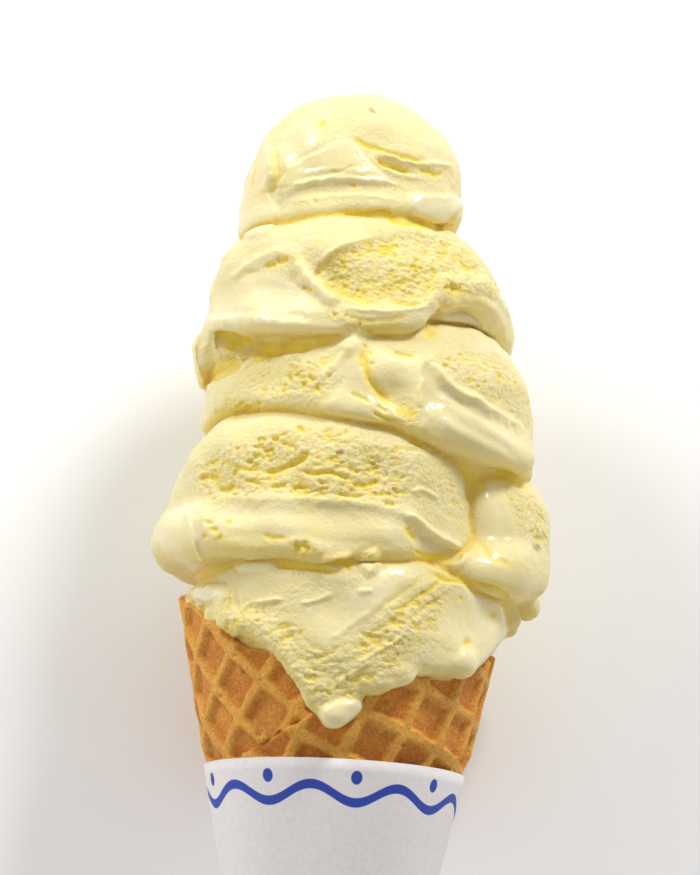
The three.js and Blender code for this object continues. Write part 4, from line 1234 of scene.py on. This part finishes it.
def cream_material():
    shader = Shader("ice_cream")
    melted = shader.attribute("melted")
    crumbly = shader.attribute("crumbly")
    patches = shader.spread(shader.noise(160, 3), 0.35, 0.65)
    cream = shader.mix(patches, (0.87, 0.765, 0.385, 1), (0.89, 0.79, 0.46, 1))
    crumb_share = shader.times(crumbly, 0.35)
    cream = shader.mix(crumb_share, cream, (0.90, 0.775, 0.335, 1))
    pores = shader.spread(shader.noise(1500, 3, 0.6), 0.42, 0.30)
    pores = shader.times(pores, shader.spread(crumbly, 0, 1, 0.12, 0.55))
    cream = shader.mix(pores, cream, (0.93, 0.71, 0.13, 1))
    # The first four tints are painted shade: a deeper yellow where the cream faces down and in hollows,
    # crevices between scoops and drawn recesses.
    for name, share, colour in (
        ("under", 0.65, (0.93, 0.73, 0.19, 1)),
        ("hollow_shade", 0.4, (0.92, 0.73, 0.18, 1)),
        ("crevice", 0.65, (0.90, 0.64, 0.05, 1)),
        ("deep", 0.95, (0.97, 0.73, 0.07, 1)),
        ("white", 0.5, (0.89, 0.85, 0.71, 1)),
        ("fleck", 0.85, (0.52, 0.35, 0.17, 1)),
    ):
        cream = shader.mix(shader.times(shader.attribute(name), share), cream, colour)
    shader.set("Base Color", cream)
    shader.set("Roughness", shader.spread(melted, 0, 1, 0.6, 0.09))
    shader.set("Subsurface Weight", 0.6)
    shader.set("Subsurface Radius", (1.0, 0.8, 0.4))
    shader.set("Subsurface Scale", 0.0012)
    shader.set("IOR", 1.45)
    firm = shader.spread(melted, 0, 0.8, 1.0, 0.04)
    rough = shader.times(firm, shader.spread(crumbly, 0, 1, 0.5, 1.0))
    wet = shader.bump(shader.noise(330, 2), shader.times(melted, 0.3), 0.0011)
    low = shader.bump(shader.noise(1000, 3, 0.6), rough, 0.0007, wet)
    fine = shader.times(firm, 0.8)
    shader.set("Normal", shader.bump(shader.noise(2300, 4, 0.65), fine, 0.0003, low))
    return shader.material


def wafer_material():
    shader = Shader("wafer")
    raised = shader.attribute("raised")
    patches = shader.spread(shader.noise(220, 4), 0.3, 0.7)
    floor = shader.mix(patches, (0.60, 0.20, 0.025, 1), (0.74, 0.30, 0.045, 1))
    ridge = shader.mix(patches, (0.72, 0.33, 0.045, 1), (0.83, 0.44, 0.08, 1))
    colour = shader.mix(raised, floor, ridge)
    grains = shader.spread(shader.noise(1300, 3, 0.6), 0.5, 0.7)
    colour = shader.mix(shader.times(grains, 0.4), colour, (0.88, 0.58, 0.22, 1))
    specks = shader.spread(shader.noise(1700, 3, 0.6), 0.46, 0.32)
    colour = shader.mix(shader.times(specks, 0.55), colour, (0.30, 0.10, 0.025, 1))
    shader.set("Base Color", colour)
    shader.set("Roughness", 0.6)
    shader.set("IOR", 1.3)
    shader.set("Subsurface Weight", 0.1)
    shader.set("Subsurface Radius", (1.0, 0.5, 0.2))
    shader.set("Subsurface Scale", 0.002)
    coarse = shader.bump(shader.noise(700, 4, 0.6), 0.6, 0.0006)
    shader.set("Normal", shader.bump(shader.noise(1800, 3), 0.7, 0.0003, coarse))
    return shader.material


WAVES = 9  # waves of the printed line, and dots over it, all round the sleeve
WAVE_HEIGHT = 0.845  # as a share of the unrolled height, as the next one is
DOT_HEIGHT = 0.868


def paper_material():
    shader = Shader("sleeve_paper")
    place = shader.node("ShaderNodeUVMap", uv_map="unrolled").outputs[0]
    parts = shader.node("ShaderNodeSeparateXYZ")
    shader.link(place, parts.inputs[0])
    across, up = parts.outputs[0], parts.outputs[1]
    wave = shader.math("SINE", shader.times(across, 2 * math.pi * WAVES))
    line = shader.math("ADD", WAVE_HEIGHT, shader.times(wave, 0.012))
    gap = shader.math("ABSOLUTE", shader.math("SUBTRACT", up, line))
    inked = shader.spread(gap, 0.006, 0.0075, 1, 0)
    turn = shader.math("FRACT", shader.times(across, WAVES))
    dot_across = shader.times(shader.math("SUBTRACT", turn, 0.75), 0.155)
    dot_up = shader.math("SUBTRACT", up, DOT_HEIGHT)
    squares = shader.math("ADD", shader.times(dot_across, dot_across), shader.times(dot_up, dot_up))
    dot = shader.spread(shader.math("SQRT", squares), 0.009, 0.0105, 1, 0)
    ink = shader.math("MAXIMUM", inked, dot)
    fibre = shader.spread(shader.noise(900, 4), 0.3, 0.7)
    paper = shader.mix(fibre, (0.80, 0.765, 0.765, 1), (0.86, 0.825, 0.825, 1))
    shader.set("Base Color", shader.mix(ink, paper, (0.02, 0.06, 0.42, 1)))
    shader.set("Roughness", 0.6)
    shader.set("Normal", shader.bump(shader.noise(1400, 4), 0.15, 0.0002))
    return shader.material


def floor_material():
    shader = Shader("pale_floor")
    patches = shader.spread(shader.noise(6, 2), 0.3, 0.7)
    shader.set("Base Color", shader.mix(patches, (0.89, 0.89, 0.90, 1), (0.91, 0.91, 0.92, 1)))
    shader.set("Roughness", 0.9)
    return shader.material


# ---- Waffle cone ----
CONE_TURNS = 640
OUTER_ROWS = 150
INNER_ROWS = 40
RELIEF_FROM = 128  # the wafer's relief starts here, inside the sleeve
HOLE_DEPTH = 0.9
TIP_ROUND = 1.5
RIM_ROUND = 0.8
AIR_HOLES = [  # (pixel of the middle, radius in pixels)
    ((234, 655), 2.2), ((219, 696), 2.4), ((259, 734), 2.6), ((290, 699), 1.6), ((386, 701), 2.2),
    ((402, 745), 1.8), ((446, 712), 1.8), ((243, 672), 1.2),
]


def sheet_relief(grid, height, azimuth):
    """1 on the ridges of the waffle's grid and 0 on the floors of its pockets."""
    slant = height / math.cos(LEAN)
    turn = np.radians(azimuth) * math.sin(LEAN)
    across, along = slant * np.sin(turn), slant * np.cos(turn)
    lean = math.radians(grid["turn"])
    x, y = across - grid["start"][0], along - grid["start"][1]
    u = (x * math.cos(lean) + y * math.sin(lean)) / grid["pitch"]
    v = (x * math.sin(lean) - y * math.cos(lean)) / grid["pitch"]
    place = np.stack([across, 0 * across, along], -1).reshape(-1, 3)
    wavy = lattice_noise(place, 3.2, 63).reshape(across.shape) * 0.35
    du = np.abs(u - np.round(u)) * grid["pitch"] + wavy
    dv = np.abs(v - np.round(v)) * grid["pitch"] - wavy
    pressed = smooth((du - 0.6) / 1.5) * smooth((dv - 0.6) / 1.5)
    return 1 - pressed


def wafer_outside(height, azimuth):
    """Radius of the wafer's outer face and how far it is raised from the pocket floors."""
    place = np.stack([np.radians(azimuth) * 32, np.zeros_like(height), height], -1).reshape(-1, 3)
    ragged = lattice_noise(place, 3.0, 51).reshape(height.shape) * 0.5
    edge = flap_height(azimuth) + ragged
    wrapped = (azimuth < 100) & (height < edge)
    back = azimuth >= 100
    step = smooth((edge - height) / 0.9) * (azimuth < 170)
    face = flap_face(azimuth) * (1 - 0.9 * pinched(height))
    thickness = np.where(wrapped | back, np.maximum(face, 0) * step, 0)
    inner = sheet_relief(INNER_GRID, height, azimuth)
    outer = sheet_relief(OUTER_GRID, height, azimuth)
    raised = np.where(wrapped | back, outer, inner)
    soft = fractal(place, 5.0, 61, 3).reshape(height.shape) * 0.18
    grain = lattice_noise(place, 0.9, 65).reshape(height.shape) * 0.09
    radius = taper_at(height) + thickness + soft + grain - WAFFLE_DEPTH * (1 - raised)
    return radius - air_holes(radius, height, azimuth), raised


def air_holes(radius, height, azimuth):
    """Depth of the small holes in the baked face."""
    spots = round_axis(radius, azimuth, height).reshape(-1, 3)
    pixels = seen(spots).reshape(*height.shape, 2)
    depth = np.zeros_like(radius)
    for middle, size in AIR_HOLES:
        gap = np.linalg.norm(pixels - np.array(middle), axis=-1)
        depth += HOLE_DEPTH * np.exp(-((gap / size) ** 2)) * (np.abs(azimuth) < 90)
    return depth


def wafer_rings(azimuths, rims):
    """Radius, height and raised share of each ring, up the outside and down the inside."""
    for share, height in ((0.02, TIP_HEIGHT), (0.7, TIP_HEIGHT), (1, TIP_HEIGHT + TIP_ROUND)):
        yield taper_at(TIP_HEIGHT + TIP_ROUND) * share, height, 0.6
    for height in (60, 100, 126):
        yield taper_at(height), height, 0.8
    for i in range(OUTER_ROWS + 1):
        height = RELIEF_FROM + (rims - RIM_ROUND - RELIEF_FROM) * i / OUTER_ROWS
        radius, raised = wafer_outside(height, azimuths)
        yield radius, height, raised
    edge = np.maximum(wafer_outside(rims - RIM_ROUND, azimuths)[0], taper_at(rims) - 0.9)
    for out, up in ((-0.25, -0.3), (-RIM_ROUND, 0), (-WALL + RIM_ROUND, 0), (-WALL + 0.25, -0.3)):
        yield edge + out, rims + up, 0.9
    for share in np.linspace(0.03, 1, INNER_ROWS):
        height = rims - RIM_ROUND + (SLEEVE_TOP - rims) * share
        grid = sheet_relief(INNER_GRID, height, azimuths)
        yield taper_at(height) - WALL + 0.5 * (1 - grid), height, 0.5 + 0.4 * grid
    floor = TIP_HEIGHT + 2 * WALL
    yield taper_at(floor + 4) - WALL, floor + 4, 0.5
    yield 0.02, floor, 0.5


def waffle_cone():
    azimuths = -180 + 360 * np.arange(CONE_TURNS) / CONE_TURNS
    place = np.stack([np.radians(azimuths) * 36, 0 * azimuths, 0 * azimuths], 1)
    rims = rim_height(azimuths) + lattice_noise(place, 2.5, 71) * 0.4
    rings = [
        [np.broadcast_to(value, azimuths.shape) for value in ring]
        for ring in wafer_rings(azimuths, rims)
    ]
    points = np.concatenate([round_axis(radius, azimuths, height) for radius, height, _ in rings])
    quads = ring_quads(len(rings), CONE_TURNS)
    piece = mesh_piece("wafer", points, quads, wafer_material())
    give(piece, "raised", np.concatenate([raised for _, _, raised in rings]))
    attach(piece, "root")
    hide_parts("waffle_cone")


def ring_quads(rows, columns):
    """Quads between rings of points; the rings run up the outside, facing outwards."""
    row, column = np.meshgrid(np.arange(rows - 1), np.arange(columns), indexing="ij")
    a = row * columns + column
    b = row * columns + (column + 1) % columns
    return np.stack([a, b, b + columns, a + columns], -1).reshape(-1, 4)


# ---- Paper sleeve ----
SLEEVE_TURNS = 240
UNROLLED_HEIGHT = 150


def paper_sleeve():
    azimuths = -180 + 360 * np.arange(SLEEVE_TURNS) / SLEEVE_TURNS
    profile = sleeve_profile()
    dense = []
    for (ra, ha), (rb, hb) in zip(profile[:-1], profile[1:]):
        steps = max(2, int(abs(hb - ha) / 2.5))
        for share in np.arange(steps) / steps:
            dense.append((ra + (rb - ra) * share, ha + (hb - ha) * share))
    dense.append(profile[-1])
    rows = []
    for radius, height in dense:
        place = np.stack([np.radians(azimuths) * 25, 0 * azimuths, azimuths * 0 + height], 1)
        wavy = fractal(place, (22, 22, 40), 81, 2) * 0.16 * smooth((height - 20) / 30)
        reach = max(radius, 0.02) + wavy * (radius > 1)
        rows.append(round_axis(reach, azimuths, azimuths * 0 + height))
    points = np.concatenate(rows)
    quads = ring_quads(len(rows), SLEEVE_TURNS)
    piece = mesh_piece("sleeve", points, quads, paper_material())
    layer = piece.data.uv_layers.new(name="unrolled")
    corners = quads.ravel()
    columns = corners % SLEEVE_TURNS
    starts = np.repeat(quads[:, 0] % SLEEVE_TURNS, 4)
    across = np.where((columns == 0) & (starts == SLEEVE_TURNS - 1), 1.0, columns / SLEEVE_TURNS)
    up = points[corners][:, 2] / UNROLLED_HEIGHT
    layer.data.foreach_set("uv", np.stack([across, up], 1).astype(np.float32).ravel())
    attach(piece, "root")
    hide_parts("paper_sleeve")


# ---- Stage, camera and light ----
FLOOR = 3.0  # metres from the middle of the floor to its sides
SENSOR = 36
WHITE = (1.0, 0.99, 0.97)


def directed(vector):
    """A direction of the standing frame, in the row frame."""
    origin, tip = lying([(0, 0, 0), tuple(vector)])
    return Vector((tip - origin) / MM).normalized()


def camera():
    data = bpy.data.cameras.new("camera")
    data.sensor_width = SENSOR
    data.lens = SENSOR * FOCAL / max(IMAGE)
    piece = linked("camera", data)
    right, up, forward = directed(RIGHT), directed(UP), directed(FORWARD)
    turn = Matrix((right, up, -forward)).transposed().to_4x4()
    piece.matrix_world = Matrix.Translation(Vector(placed([EYE])[0])) @ turn
    bpy.context.scene.camera = piece


def area_light(name, right, up, back, size, power, colour=(1, 1, 1)):
    """A soft light, placed in metres to the right of, above and behind the middle, as seen."""
    data = bpy.data.lights.new(name, "AREA")
    data.shape = "DISK"
    data.size = size
    data.energy = power
    data.color = colour
    piece = linked(name, data)
    middle = Vector(placed([(0, 0, 215)])[0])
    away = directed(RIGHT) * right + directed(UP) * up - directed(FORWARD) * back
    piece.location = middle + away
    piece.rotation_euler = (-away).to_track_quat("-Z", "Y").to_euler()


def stage():
    data = bpy.data.meshes.new("floor")
    corners = [(-FLOOR, -FLOOR, 0), (FLOOR, -FLOOR, 0), (FLOOR, FLOOR, 0), (-FLOOR, FLOOR, 0)]
    data.from_pydata(corners, [], [(0, 1, 2, 3)])
    data.materials.append(floor_material())
    linked("floor", data)
    world = bpy.data.worlds.new("studio")
    world.use_nodes = True
    colour, strength = world.node_tree.nodes["Background"].inputs[:2]
    colour.default_value = (1.0, 0.99, 0.975, 1)
    strength.default_value = 0.45
    bpy.context.scene.world = world
    bpy.context.scene.view_settings.view_transform = "Standard"
    area_light("key", -0.55, 0.8, 0.22, 0.3, 4.2, WHITE)
    area_light("top", 0.5, 0.9, 0.3, 0.3, 7.8, WHITE)
    area_light("fill", -0.9, 0.1, 0.5, 0.6, 1.5)


camera()
ice_cream()
waffle_cone()
paper_sleeve()
stage()
